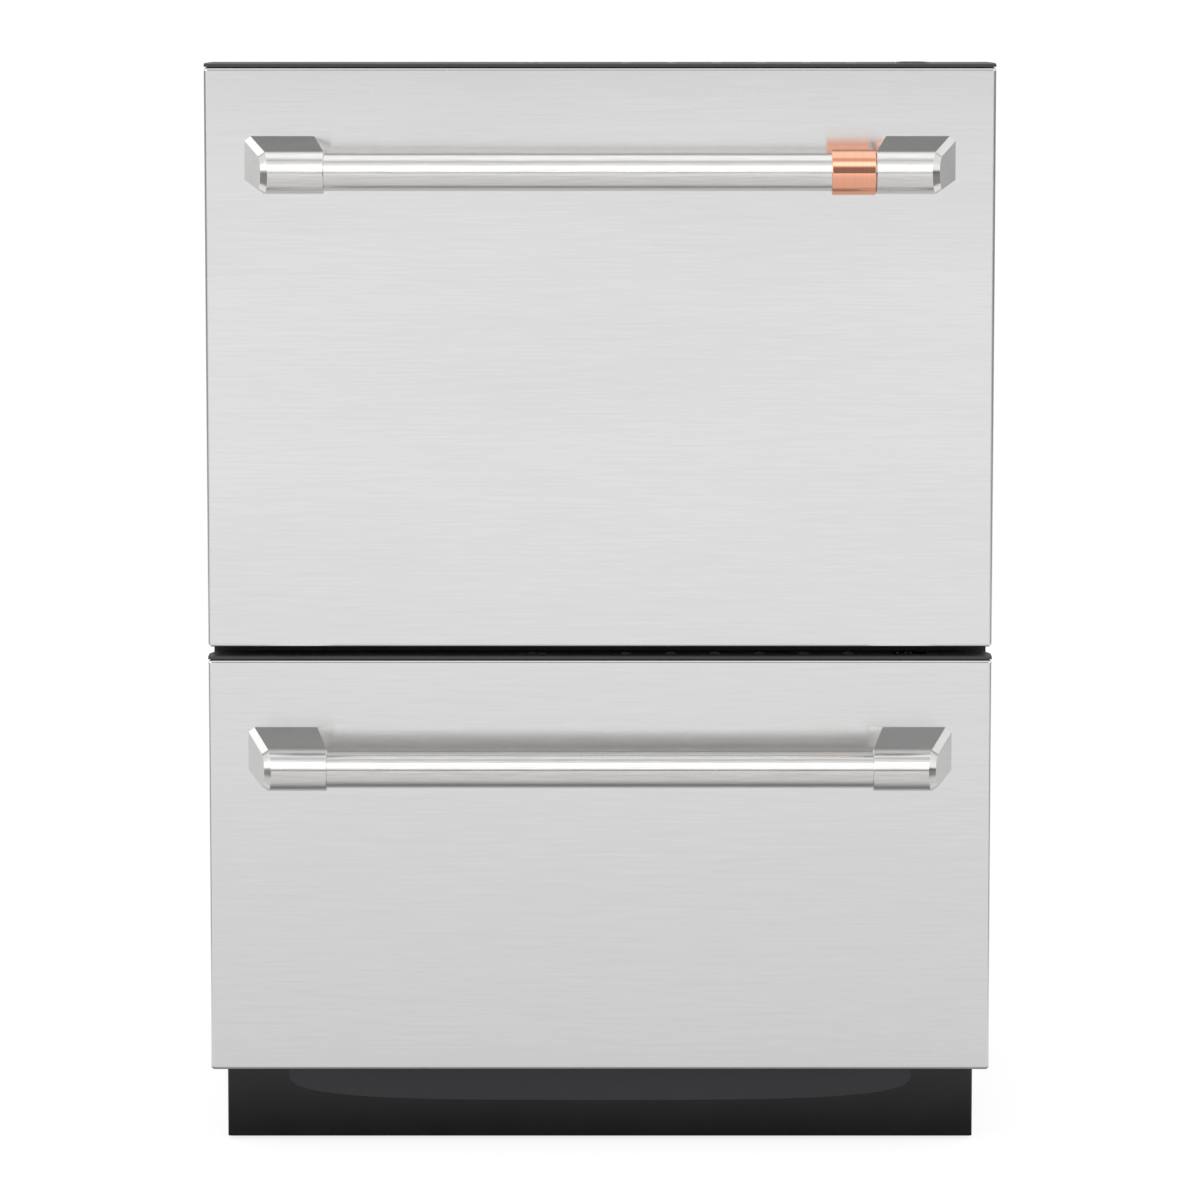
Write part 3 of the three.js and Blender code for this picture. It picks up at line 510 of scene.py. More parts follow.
SKIN = 1.0  # thickness of the stainless sheet
FIT = 0.3  # gap between neighbouring pieces
NECK_INSET = 8  # from the front's end to the neck that joins carrier and cap
BUTTON_CORNER = 4.2
FRONT_LOW, FRONT_HIGH = reach("upper_front_skin")
FACE_Y = FRONT_LOW.y
FRONT_HALF = FRONT_HIGH.x
FRONT_BACK_Y = reach("upper_front_frame")[1].y


def add_front_skin(drawer, sizes):
    """Stainless sheet folded back all round, with the top fold cut back for the cap."""
    node = f"{drawer}_front_skin"
    low, high = reach(node)
    bend, corner = sizes.sheet_bend / MM, sizes.sheet_corner / MM
    inner_bend = max(bend - SKIN, 0.2)
    turns = [math.radians(15 * step) for step in range(7)]

    def layer(inset, y):
        return y, rounded(high.x - inset, (high.z - low.z) / 2 - inset, corner - inset, 7)

    outside = [layer(bend * (1 - math.sin(turn)), low.y + bend * (1 - math.cos(turn))) for turn in turns]
    inside = [layer(SKIN + inner_bend * (1 - math.sin(turn)), low.y + SKIN + inner_bend * (1 - math.cos(turn)))
              for turn in reversed(turns)]
    pan = Shape().stack(Y, outside + [layer(0, high.y), layer(SKIN, high.y)] + inside,
                        (0, (low.z + high.z) / 2))
    neck = Shape().block(around(0, high.x - NECK_INSET), (low.y + 5.5, high.y + 1),
                         (high.z - 2 * SKIN, high.z + 1))
    make(node, pan, "stainless", node, [neck], edge=0.12)


def button_socket(drawer, top):
    """The hole in a carrier or a cap that the button stands in, cut up to a height."""
    low, high = reach(f"{drawer}_power_button")
    return Shape().block((low.x - FIT, high.x + FIT), (low.y - FIT, high.y + FIT), (low.z - 3, top),
                         BUTTON_CORNER)


def add_carrier(drawer, sizes):
    """Moulded body behind the sheet: vents and screws show above the tub when the drawer is out."""
    node = f"{drawer}_front_frame"
    low, high = reach(f"{drawer}_front_skin")
    inset = SKIN + FIT
    corner = sizes.sheet_corner / MM - inset
    outline = rounded(high.x - inset, (high.z - low.z) / 2 - inset, corner, 6)
    body = Shape().prism(Y, outline, low.y + inset, FRONT_BACK_Y, (0, (low.z + high.z) / 2))
    neck_half = high.x - NECK_INSET - FIT
    body.block((-neck_half, neck_half), (low.y + 5.8, FRONT_BACK_Y), (high.z - 3, high.z + 0.5))
    rim = reach(f"{drawer}_tub")[1].z
    recess = Shape().block((-262, 262), (FRONT_BACK_Y - 2.5, FRONT_BACK_Y + 1), (rim + 12, high.z - 9), 5, Y)
    make(node, body, "dark_plastic", node, [recess, button_socket(drawer, high.z + 4)], edge=0.8)
    vents = Shape()
    for x in spread(-250, 250, 26):
        vents.block(around(x, 1.4), (FRONT_BACK_Y - 3.5, FRONT_BACK_Y - 0.4), (rim + 16, high.z - 13), 1.2, Y)
    make(f"{drawer}_front_ribs", vents, "dark_plastic", node, edge=0.3)
    places = [(x, z) for x in (-288, 288) for z in spread(low.z + 40, high.z - 40, 4)]
    add_screws(f"{drawer}_front_screws", node, places, FRONT_BACK_Y - 0.2)


def add_cap(drawer):
    """Dark cap along the top of a front, with printed touch marks beside the button's socket."""
    node = f"{drawer}_front_frame"
    low, high = reach(node)
    panel_top = reach(f"{drawer}_front_skin")[1].z
    front = low.y
    half = FRONT_HALF
    corners = [(0, front), (half, front), (half, FRONT_BACK_Y - 16), (half - 5, FRONT_BACK_Y)]
    path = corners + [(-u, v) for u, v in reversed(corners)]
    outline = [point.to_2d() for point in fillet([(u, v, 0) for u, v in path], 1.4, 5)][:-1]
    cap = Shape().prism(Z, outline, panel_top + FIT, high.z)
    middle = outline_of(f"{drawer}_power_button")[2]
    socket = button_socket(drawer, high.z + 1)
    make(f"{drawer}_front_cap", cap, "dark_plastic", node, [socket], edge=0.7)
    marks = Shape()
    top = high.z + 0.06
    for x in spread(20, 190, 6):
        marks.ring(Z, [(3.1, high.z - 0.2), (3.6, high.z - 0.2), (3.6, top), (3.1, top)], (x, middle[1]), 32)
        marks.turned(Z, [(0.7, high.z - 0.2), (0.7, top)], (x, middle[1] + 7), 16)
    for x in (-60, -52, -44):
        marks.block(around(x, 2.6), around(middle[1], 0.5), (high.z - 0.2, top), 0.4)
    make(f"{drawer}_touch_marks", marks, "pale_plastic", node, edge=0, slot="dark_plastic")


def add_button(drawer):
    """Start button: dished on top, with a ring and a lamp in it."""
    node = f"{drawer}_power_button"
    low, high, middle, half_x, half_y = outline_of(node)
    dish = [(1.3, 0, 4), (0.8, 0.25, 3.8), (0.3, 0.7, 3.4), (0.05, 1.3, 3), (0, 2, 2.6), (0.2, 3.2, 2),
            (0.45, 4.6, 1.4), (0.6, 6, 1)]
    rows = [(low.z, 0, 4)] + [(high.z - drop, inset, radius) for drop, inset, radius in dish]
    make(node, Shape().stack(Z, drawn_in(half_x, half_y, rows, 5), middle), "black_gloss", node, edge=0)
    foot, top = high.z - 0.9, high.z - 0.52
    mark = Shape().ring(Z, [(2.2, foot), (2.7, foot), (2.7, top), (2.2, top)], middle, 28)
    mark.turned(Z, [(0.8, foot), (0.8, high.z - 0.3), (0.5, high.z - 0.2)],
                (middle[0] - half_x + 4.6, middle[1]), 16)
    make(f"{drawer}_button_mark", mark, "pale_plastic", node, edge=0, slot="black_gloss")


class DISHWASHER_OT_fronts(bpy.types.Operator):
    """Add the stainless fronts with their carriers, caps and buttons"""
    bl_idname = "dishwasher.add_fronts"
    bl_label = "Fronts"

    def execute(self, context):
        for drawer in DRAWERS:
            add_front_skin(drawer, context.scene.dishwasher_sizes)
            add_carrier(drawer, context.scene.dishwasher_sizes)
            add_cap(drawer)
            add_button(drawer)
        return {"FINISHED"}


# ---------------------------------------------------------------- handles

FOOT_HALF_HEIGHT = 18.2
FOOT_INNER_X, FOOT_OUTER_X = 215.5, 264.0
COLLAR_INNER_X, COLLAR_OUTER_X = 206.0, 251.2
BEVEL_ACROSS, BEVEL_OUT = 3.5, 4.6


class Handle:
    """Where one drawer's handle lies, read from the frame."""

    def __init__(self, drawer):
        bar_low, bar_high = reach(f"{drawer}_handle_bar")
        low, high = reach(f"{drawer}_bracket_right")
        self.bar_y, self.bar_z = (bar_low.y + bar_high.y) / 2, (bar_low.z + bar_high.z) / 2
        self.bar_radius, self.bar_half = (bar_high.z - bar_low.z) / 2, bar_high.x
        self.collar_radius = self.bar_y - low.y
        self.foot_z = high.z - FOOT_HALF_HEIGHT
        self.out = FACE_Y - self.bar_y
        self.drop = self.foot_z - self.bar_z

    def section(self, inset):
        """Side view of a bracket, drawn in by an inset: a round nose running back to a flat foot."""
        radius, foot = self.collar_radius - inset, FOOT_HALF_HEIGHT - inset
        upper = math.atan2(foot + self.drop - radius, self.out)
        lower = math.atan2(foot - self.drop - radius, self.out)
        turns = spread(math.pi / 2 + upper, 1.5 * math.pi - lower, 49)
        nose = [(radius * math.cos(turn) - self.out, radius * math.sin(turn) - self.drop) for turn in turns]
        return nose + [(-FIT, -foot), (-FIT, foot)]

    def bracket_ring(self, inset, side, across):
        """One ring of a bracket's skin: across gives the place along X for a distance from the face."""
        return [(side * across(y), FACE_Y + y, self.foot_z + z) for y, z in self.section(inset)]

    def inner_x(self, y):
        return COLLAR_INNER_X + (FOOT_INNER_X - COLLAR_INNER_X) * max(0, 1 + y / self.out)

    def outer_x(self, y):
        return FOOT_OUTER_X + (FOOT_OUTER_X - COLLAR_OUTER_X) * y / self.out


def add_bracket(drawer, hand):
    """A handle bracket: collar round the bar, body drawn in from the foot, bevelled outer end."""
    handle = Handle(drawer)
    side = HANDS[hand]
    node = f"{drawer}_bracket_{hand}"
    rings = [handle.bracket_ring(inset, side, lambda y, out=out: handle.inner_x(y) + out)
             for inset, out in ((0.9, 0), (0.3, 0.25), (0, 0.8))]
    rings.append(handle.bracket_ring(0, side, handle.outer_x))
    rings.append(handle.bracket_ring(BEVEL_ACROSS, side, lambda y: handle.outer_x(y) + BEVEL_OUT))
    bore = Shape().turned(X, [(handle.bar_radius + 0.35, side * (COLLAR_INNER_X - 6)),
                              (handle.bar_radius + 0.35, side * (handle.bar_half + FIT))],
                          (handle.bar_y, handle.bar_z), 96)
    piece = make(node, Shape().loft(rings), "satin_metal", node, [bore],
                 edge=0.14, smooth=20)
    lit_group("handle_metal").objects.link(piece)


def add_bar(drawer):
    """The handle's tube."""
    handle = Handle(drawer)
    node = f"{drawer}_handle_bar"
    radius, end = handle.bar_radius, handle.bar_half
    profile = [(radius - 0.5, -end), (radius, 0.5 - end), (radius, end - 0.5), (radius - 0.5, end)]
    piece = make(node, Shape().turned(X, profile, (handle.bar_y, handle.bar_z), 128),
                 "satin_metal", node, edge=0)
    lit_group("handle_metal").objects.link(piece)


def add_copper_band():
    """Polished band on the upper bar, against the right-hand bracket."""
    handle = Handle("upper")
    low, high = reach("copper_band")
    radius = (high.z - low.z) / 2
    bore = handle.bar_radius + 0.2
    profile = [(bore, low.x), (radius - 0.7, low.x), (radius - 0.2, low.x + 0.2), (radius, low.x + 0.7),
               (radius, high.x - 0.7), (radius - 0.2, high.x - 0.2), (radius - 0.7, high.x), (bore, high.x)]
    shape = Shape().ring(X, profile, (handle.bar_y, handle.bar_z), 128)
    band = make("copper_band", shape, "copper", "copper_band", edge=0)
    lit_group("copper_metal").objects.link(band)


def lit_group(name):
    """The collection of pieces that a lamp of their own lights."""
    return bpy.data.collections.get(name) or bpy.data.collections.new(name)


class DISHWASHER_OT_handles(bpy.types.Operator):
    """Add the bar handles with their brackets and the copper band"""
    bl_idname = "dishwasher.add_handles"
    bl_label = "Handles"

    def execute(self, context):
        for drawer in DRAWERS:
            add_bar(drawer)
            for hand in HANDS:
                add_bracket(drawer, hand)
        add_copper_band()
        return {"FINISHED"}


# ---------------------------------------------------------------- chassis

SHEET = 1.2  # thickness of the galvanised sheet
SLOT_HEIGHTS = (175, 340, 450, 700)  # of the fixing slots in the casing's sides
BEAD_HEIGHTS = (655, 420, 150)  # of the pressed beads in the casing's sides
BEAD_Y, BEAD_HALF_Y, BEAD_HALF_Z = 55, 190, 26


def add_casing():
    """Galvanised wrap: top and sides with pressed beads, spot welds, and slots for fixing screws."""
    low, high = reach("casing")
    mid = SHEET / 2
    path = [(low.x + 20, low.z + mid), (low.x + mid, low.z + mid), (low.x + mid, high.z - mid),
            (high.x - mid, high.z - mid), (high.x - mid, low.z + mid), (high.x - 20, low.z + mid)]
    wrap = Shape().prism(Y, sheet_outline(path, SHEET, 2.5), low.y, high.y)
    slots = Shape()
    for side in HANDS.values():
        for z in SLOT_HEIGHTS:
            slots.block(around(side * high.x, 4), (low.y + 6, low.y + 18), around(z, 3), 2.8, X)
    for x in (-220, -60, 60, 220):
        slots.block(around(x, 7), (low.y + 8, low.y + 15), around(high.z, 4), 3.2, Z)
    make("casing", wrap, "galvanised", "casing", [slots], edge=0.15)
    beads = Shape()
    for side in HANDS.values():
        face = side * high.x
        for z in BEAD_HEIGHTS:
            beads.pad(X, (BEAD_Y, z), BEAD_HALF_Y, BEAD_HALF_Z, face - side * 0.4, face + side * 1.1, 14, 2.2)
        for z in (250, 560):
            for y in spread(-180, 250, 7):
                beads.turned(X, [(3.4, face - side * 0.3), (3.4, face + side * 0.1), (2.6, face + side * 0.35)],
                             (y, z), 24)
    for y in (-80, 60, 200):
        beads.pad(Z, (0, y), 215, 30, high.z - 0.4, high.z + 1.2, 16, 2.2)
    make("casing_beads", beads, "galvanised", "casing", edge=0)


def add_rear_panel():
    """Flat back with its stiffening beads, vent slots and screws."""
    low, high = reach("rear_panel")
    plate_back = low.y + SHEET
    plate = Shape().block((low.x, high.x), (low.y, plate_back), (low.z, high.z), 3, Y)
    vents = Shape()
    for row in (0, 1):
        for x in spread(-150, 150, 21):
            vents.block(around(x, 2.2), (low.y - 2, plate_back + 2), (716 - 30 * row, 738 - 30 * row), 2, Y)
    make("rear_panel", plate, "galvanised", "rear_panel", [vents], edge=0.15)
    beads = Shape()
    for z in (222, 432, 642):
        beads.pad(Y, (0, z), high.x - 55, 12, low.y + 0.6, high.y, 11.5, 2)
    make("rear_beads", beads, "galvanised", "rear_panel", edge=0)
    places = [(x, z) for z in spread(low.z + 14, high.z - 14, 6) for x in (low.x + 9, high.x - 9)]
    places += [(x, high.z - 9) for x in spread(low.x + 70, high.x - 70, 4)]
    add_screws("rear_screws", "rear_panel", places, plate_back - 0.5, 2.6)


def leg_places():
    """Centres of the four feet."""
    return {name: (reach(name)[0] + reach(name)[1]) / 2 for name in BODY_OF if name.startswith("foot_")}


def add_base_tray():
    """Moulded leak tray: ribbed walls, a rolled rim, and a boss round each foot."""
    low, high, middle, half_x, half_y = outline_of("base_tray")
    tall = high.z - low.z
    rows = [(low.z + rise, inset, radius) for rise, inset, radius in (
        (0, 8, 8), (1.2, 4.6, 10), (4.5, 2.4, 12), (38, 1.6, 12), (41, 0.2, 12), (tall, 0.2, 12),
        (tall, 2.7, 10), (4, 4.4, 9), (2.6, 9, 6))]
    tray = Shape().stack(Z, drawn_in(half_x, half_y, rows), middle)
    legs = leg_places()
    for centre in legs.values():
        tray.turned(Z, [(19, low.z + 0.5), (18, high.z - 2)], (centre.x, centre.y), 32)
    for side in HANDS.values():
        for x in spread(-250, 250, 11):
            y = middle[1] + side * half_y
            tray.block(around(x, 1.2), ordered(y, y - side * 3), (low.z + 4, low.z + 40))
        for y in spread(low.y + 30, high.y - 30, 10):
            x = middle[0] + side * half_x
            tray.block(ordered(x, x - side * 3), around(y, 1.2), (low.z + 4, low.z + 40))
    bores = Shape()
    for centre in legs.values():
        bores.turned(Z, [(6.9, low.z - 2), (6.9, high.z + 2)], (centre.x, centre.y), 32)
    make("base_tray", tray, "dark_plastic", "base_tray", [bores], edge=0.4)


def add_mid_rail():
    """Folded cross rail between the drawers, with its holes and the rubber strip along its front, whose black
    is painted shade for the gap between the drawers.
    """
    low, high = reach("mid_rail")
    mid = SHEET / 2
    path = [(low.y + mid, low.z), (low.y + mid, high.z - mid),
            (high.y - mid, high.z - mid), (high.y - mid, low.z)]
    rail = Shape().prism(X, sheet_outline(path, SHEET, 1.6), low.x, high.x)
    holes = Shape()
    for x in spread(-240, 240, 7):
        holes.turned(Z, [(3, high.z - 4), (3, high.z + 3)], (x, (low.y + high.y) / 2), 24)
    make("mid_rail", rail, "galvanised", "mid_rail", [holes], edge=0.15)
    # Black rubber strip on the rail's front: painted shade, so the gap between the drawers reads dark.
    seal = Shape().prism(X, [(low.y - 1.6, low.z + 0.4), (low.y + 7, high.z + 0.02), (low.y + 7, high.z + 0.9),
                             (low.y - 0.8, high.z + 0.9), (low.y - 1.6, high.z + 0.2)], low.x + 1, high.x - 1)
    make("mid_rail_seal", seal, "seal_rubber", "mid_rail", edge=0.3)


def add_casing_shade_strips():
    """Rubber strip down the front edge of each side of the casing, whose black is painted shade along that
    edge.
    """
    low, high = reach("casing")
    # Black strips over the casing's light front edges: painted shade.
    edging = Shape()
    for side in HANDS.values():
        x = side * high.x
        edging.block(ordered(x - side * 2.4, x + side * 0.8), (low.y - 1.0, low.y + 7),
                     (low.z + 3, high.z - 3), 0.7)
    make("casing_edging", edging, "seal_rubber", "casing", edge=0)


RELIEF = {"half": 241.5, "deep": 23.6, "shoulder": 54.8, "power": 3.5}


def add_toe_kick():
    """Glossy kick plate with turned-back ends and a shallow flat-bottomed oval raised on it, in a lighter black
    that is a painted reflection of the floor.
    """
    low, high = reach("toe_kick")
    face = low.y + 0.6
    mid = SHEET / 2
    path = [(low.x + mid, high.y), (low.x + mid, face + mid),
            (high.x - mid, face + mid), (high.x - mid, high.y)]
    plate = Shape().prism(Z, sheet_outline(path, SHEET, 2.0), low.z, high.z)
    make("toe_kick", plate, "black_gloss", "toe_kick", edge=0.2)

    def bend(value):
        return math.copysign(abs(value) ** (2 / RELIEF["power"]), value)

    def oval(inset):
        bottom = [((RELIEF["half"] - inset) * bend(math.cos(turn)),
                   RELIEF["shoulder"] + (RELIEF["deep"] - inset) * bend(math.sin(turn)))
                  for turn in spread(math.pi, 2 * math.pi, 97)]
        return bottom + [(RELIEF["half"] - inset, high.z), (inset - RELIEF["half"], high.z)]

    relief = Shape().stack(Y, [(face + 0.4, oval(0)), (face - 0.25, oval(0)), (face - 0.5, oval(0.25)),
                               (low.y, oval(0.7))])
    # The raised oval is a lighter black than the plate: a painted reflection of the floor.
    make("toe_kick_relief", relief, "satin_black", "toe_kick", edge=0, slot="black_gloss")


def add_foot(name):
    """Levelling foot: rubber-soled pad, hexagon and a real screw thread."""
    low, high = reach(name)
    centre = ((low.x + high.x) / 2, (low.y + high.y) / 2)
    pad_radius, stem, pitch, sides = (high.x - low.x) / 2, 6.2, 1.75, 24
    pad = Shape().turned(Z, [(pad_radius - 1.6, low.z), (pad_radius - 0.3, low.z + 0.7),
                             (pad_radius, low.z + 2), (pad_radius, low.z + 6.4), (pad_radius - 1, low.z + 7.4),
                             (11.5, low.z + 8.6), (9.8, low.z + 9)], centre, 48)
    pad.turned(Z, [(8.7, low.z + 8.5), (8.7, low.z + 12.4), (8.2, low.z + 12.9)], centre, 6)
    make(name, pad, "black_plastic", name, edge=0.3)
    rows = int((high.z - low.z - 13) / pitch * 4)
    rings = []
    for row in range(rows + 1):
        z = low.z + 12 + row * pitch / 4
        ring = []
        for side in range(sides):
            turn = 2 * math.pi * side / sides
            phase = (row / 4 - side / sides) % 1
            radius = (stem - 1.0 * abs(2 * phase - 1) ** 1.3) * (1 if row < rows - 3 else 0.9)
            ring.append((centre[0] + radius * math.cos(turn), centre[1] + radius * math.sin(turn), z))
        rings.append(ring)
    make(f"{name}_thread", Shape().loft(rings), "slide_steel", name, edge=0)


class DISHWASHER_OT_chassis(bpy.types.Operator):
    """Add the casing with its dark edge strips of painted shade, the back, base tray, rail, kick plate and feet
    """
    bl_idname = "dishwasher.add_chassis"
    bl_label = "Chassis"

    def execute(self, context):
        add_casing()
        add_rear_panel()
        add_base_tray()
        add_mid_rail()
        add_casing_shade_strips()
        add_toe_kick()
        for name in sorted(leg_places()):
            add_foot(name)
        return {"FINISHED"}


# ---------------------------------------------------------------- connections

def add_hose_plate():
    """Plate with the capped water inlet and the barbed drain spigot."""
    low, high = reach("hose_plate")
    face = low.y + 3
    inlet, drain, middle = -170, -98, (low.z + high.z) / 2
    plate = Shape().block((low.x, high.x), (low.y, face), (low.z, high.z), 5, Y)
    for radius, x in ((19, inlet), (15, drain)):
        boss = [(radius - 1, face - 0.5), (radius - 1, face + 1.2), (radius - 2, face + 2)]
        plate.turned(Y, boss, (x, middle))
    steps = [(9.5, face)]
    for y in spread(face + 4, high.y - 5, 3):
        steps += [(9.3, y), (11, y + 0.4), (9.3, y + 4)]
    plate.turned(Y, steps + [(9.3, high.y), (7, high.y), (6.6, high.y - 9)], (drain, middle))
    make("hose_plate", plate, "grey_plastic", "hose_plate", edge=0.3)
    cap = Shape().turned(Y, [(16.5, face + 1), (16.5, face + 5), (15.6, face + 5.4)], (inlet, middle), 6)
    knurl = [(13.2 - 0.7 * (step % 2)) for step in range(64)]
    outline = [(r * math.cos(2 * math.pi * step / 64), r * math.sin(2 * math.pi * step / 64))
               for step, r in enumerate(knurl)]
    top = [(u * 0.9, v * 0.9) for u, v in outline]
    end = low.y + 19
    cap.stack(Y, [(face + 4, outline), (end - 1, outline), (end, top)], (inlet, middle))
    make("inlet_cap", cap, "black_plastic", "hose_plate", edge=0, slot="grey_plastic")
    places = [(x, z) for x in (low.x + 8, high.x - 8) for z in (low.z + 8, high.z - 8)]
    add_screws("hose_plate_screws", "hose_plate", places, face - 0.3, 2.4)


def add_terminal_box():
    """Folded wiring box with a lipped cover, its screws, a knockout and a cable gland."""
    low, high = reach("terminal_box")
    cover = low.y + 16
    box = Shape().block((low.x + 4, high.x - 4), (low.y, cover - 1.6), (low.z + 2, high.z - 2), 2, Y)
    box.block((low.x, high.x), (cover - 2.4, cover - 0.8), (low.z, high.z), 3, Y)
    box.pad(Y, ((low.x + high.x) / 2 + 14, (low.z + high.z) / 2), 26, 13, cover - 1.2, cover, 5, 1)
    make("terminal_box", box, "galvanised", "terminal_box", edge=0.3)
    centre = (132, (low.z + high.z) / 2)
    gland = Shape().turned(Y, [(11, cover - 1), (11, cover + 1.6), (10.6, cover + 2)], centre, 6)
    gland.turned(Y, [(9, cover + 1), (9, cover + 4), (8.2, cover + 5.6), (6.6, high.y), (4.2, high.y),
                     (3.9, cover + 2)], centre, 36)
    make("cable_gland", gland, "black_plastic", "terminal_box", edge=0, slot="galvanised")
    places = [(x, centre[1] + 17) for x in (low.x + 7, high.x - 7)]
    add_screws("terminal_box_screws", "terminal_box", places, cover - 0.9, 2.2)


def add_lid_lifter(drawer):
    """Shaft, eccentric cams and gearmotor behind a lid."""
    node = f"{drawer}_lid_lifter"
    low, high = reach(node)
    y, z = 308, reach(f"{drawer}_lid")[0].z + 11
    shaft = Shape().turned(X, [(4.4, -262), (5, -261.4), (5, 261.4), (4.4, 262)], (y, z), 32)
    make(f"{drawer}_lifter_shaft", shaft, "slide_steel", node, edge=0)
    works = Shape()
    for side in HANDS.values():
        x = side * 250
        works.turned(X, [(10.4, x - 6), (11, x - 5.4), (11, x + 5.4), (10.4, x + 6)], (y, z), 48)
        works.block(around(x, 4), (low.y, y), around(z, 4), 2, X)
        works.turned(X, [(7, x - 9), (7, x + 9)], (y, z), 32)
    works.block((-38, 38), (y - 10, high.y), (z - 14, z + 11), 4, X)
    works.turned(X, [(9, -44), (9.6, -43), (9.6, -36)], (y, z), 32)
    works.block((36, 66), (y - 8, y + 9), (z - 11, z + 10), 3, X)
    for x in spread(-30, 30, 7):
        works.block(around(x, 1.2), (y - 10.4, high.y - 1), (z - 14.4, z + 11.4), 4, X)
    make(node, works, "black_plastic", node, edge=0.4)


class DISHWASHER_OT_connections(bpy.types.Operator):
    """Add the hose plate, the terminal box and the lid lifters"""
    bl_idname = "dishwasher.add_connections"
    bl_label = "Connections and Lifters"

    def execute(self, context):
        add_hose_plate()
        add_terminal_box()
        for drawer in DRAWERS:
            add_lid_lifter(drawer)
        return {"FINISHED"}


# ---------------------------------------------------------------- slides

MEMBERS = {
    # name: place of the web and of the open edge along X, half the height, bend
    "outer": (294.0, 283.0, 22.5, 2.0),
    "mid": (291.8, 283.6, 19.5, 1.6),
    "inner": (279.3, 289.0, 16.0, 1.6),
}


def add_slide(drawer, hand, member):
    """One member of a telescopic slide, with its slots."""
    node = f"{drawer}_{member}_slide_{hand}"
    low, high = reach(node)
    side = HANDS[hand]
    web, edge_x, half, bend = MEMBERS[member]
    inward = math.copysign(SHEET / 2, edge_x - web)
    z = (low.z + high.z) / 2
    high_side, low_side = half - SHEET / 2, SHEET / 2 - half
    path = [(side * edge_x, z + low_side), (side * (web + inward), z + low_side),
            (side * (web + inward), z + high_side), (side * edge_x, z + high_side)]
    channel = Shape().prism(Y, sheet_outline(path, SHEET, bend), low.y, high.y)
    slots = Shape()
    centre = side * web
    for place, y in enumerate(spread(low.y + 24, high.y - 24, 8)):
        long = 7 if place % 2 else 3.2
        slots.block(around(centre, 4), around(y, long), around(z, 3), 2.9, X)
    make(node, channel, "slide_steel", node, [slots], edge=0.12)


def add_ball_cages(drawer, hand):
    """Strips above and below a mid member with the balls in them, and the rubber bumper at its stop."""
    node = f"{drawer}_mid_slide_{hand}"
    low, high = reach(node)
    side = HANDS[hand]
    x = side * 288.4
    cages = Shape()
    for z, way in ((high.z, 1), (low.z, -1)):
        cages.block(around(x, 2.2), (low.y + 10, low.y + 330), ordered(z + way * 0.25, z + way * 0.75))
    make(f"{drawer}_ball_cages_{hand}", cages, "pale_plastic", node, edge=0, slot="slide_steel")
    balls = Shape()
    for z, way in ((high.z, 1), (low.z, -1)):
        for y in spread(low.y + 14, low.y + 326, 24):
            rise = [(0.85 * math.sin(turn), z + way * 0.85 - 0.85 * math.cos(turn))
                    for turn in spread(0.1, math.pi - 0.1, 7)]
            balls.turned(Z, rise, (x, y), 10)
    make(f"{drawer}_balls_{hand}", balls, "slide_steel", node, edge=0)
    stop = Shape().block(ordered(side * 285, side * 290.4), (high.y - 9, high.y - 0.5),
                         ((low.z + high.z) / 2 - 8, (low.z + high.z) / 2 + 8), 2, Y)
    make(f"{drawer}_slide_bumper_{hand}", stop, "seal_rubber", node, edge=0.5)


class DISHWASHER_OT_slides(bpy.types.Operator):
    """Add the telescopic slides with their ball cages"""
    bl_idname = "dishwasher.add_slides"
    bl_label = "Slides"

    def execute(self, context):
        for drawer in DRAWERS:
            for hand in HANDS:
                for member in MEMBERS:
                    add_slide(drawer, hand, member)
                add_ball_cages(drawer, hand)
        return {"FINISHED"}


# ---------------------------------------------------------------- tubs and their lids

TUB_CORNER, TUB_WALL, RIM_WIDE, RIM_HIGH = 42.0, 3.0, 9.0, 4.0
POST_RADIUS = 12.0
CORNER_STEPS = 14
MOTOR_ROOM = 28.0  # from the level that the tub's heights count from up to its lowest face
COVE_WIDE, COVE_HIGH = 26.0, 14.0


class Tub:
    """Outlines of one drawer's tub, read from the frame."""

    def __init__(self, drawer):
        self.low, self.high, self.middle, self.half_x, self.half_y = outline_of(f"{drawer}_tub")
        self.base = self.low.z - MOTOR_ROOM
        self.rim = self.high.z

    def wall(self, inset, z):
        """The tub's outline drawn in by an inset, at a height."""
        radius = max(TUB_CORNER - inset, 6)
        return z, rounded(self.half_x - inset, self.half_y - inset, radius, CORNER_STEPS)

    def sump(self, radius, z):
        """As many points on a circle about the sump."""
        return z, rounded(radius, radius, radius * 0.98, CORNER_STEPS)


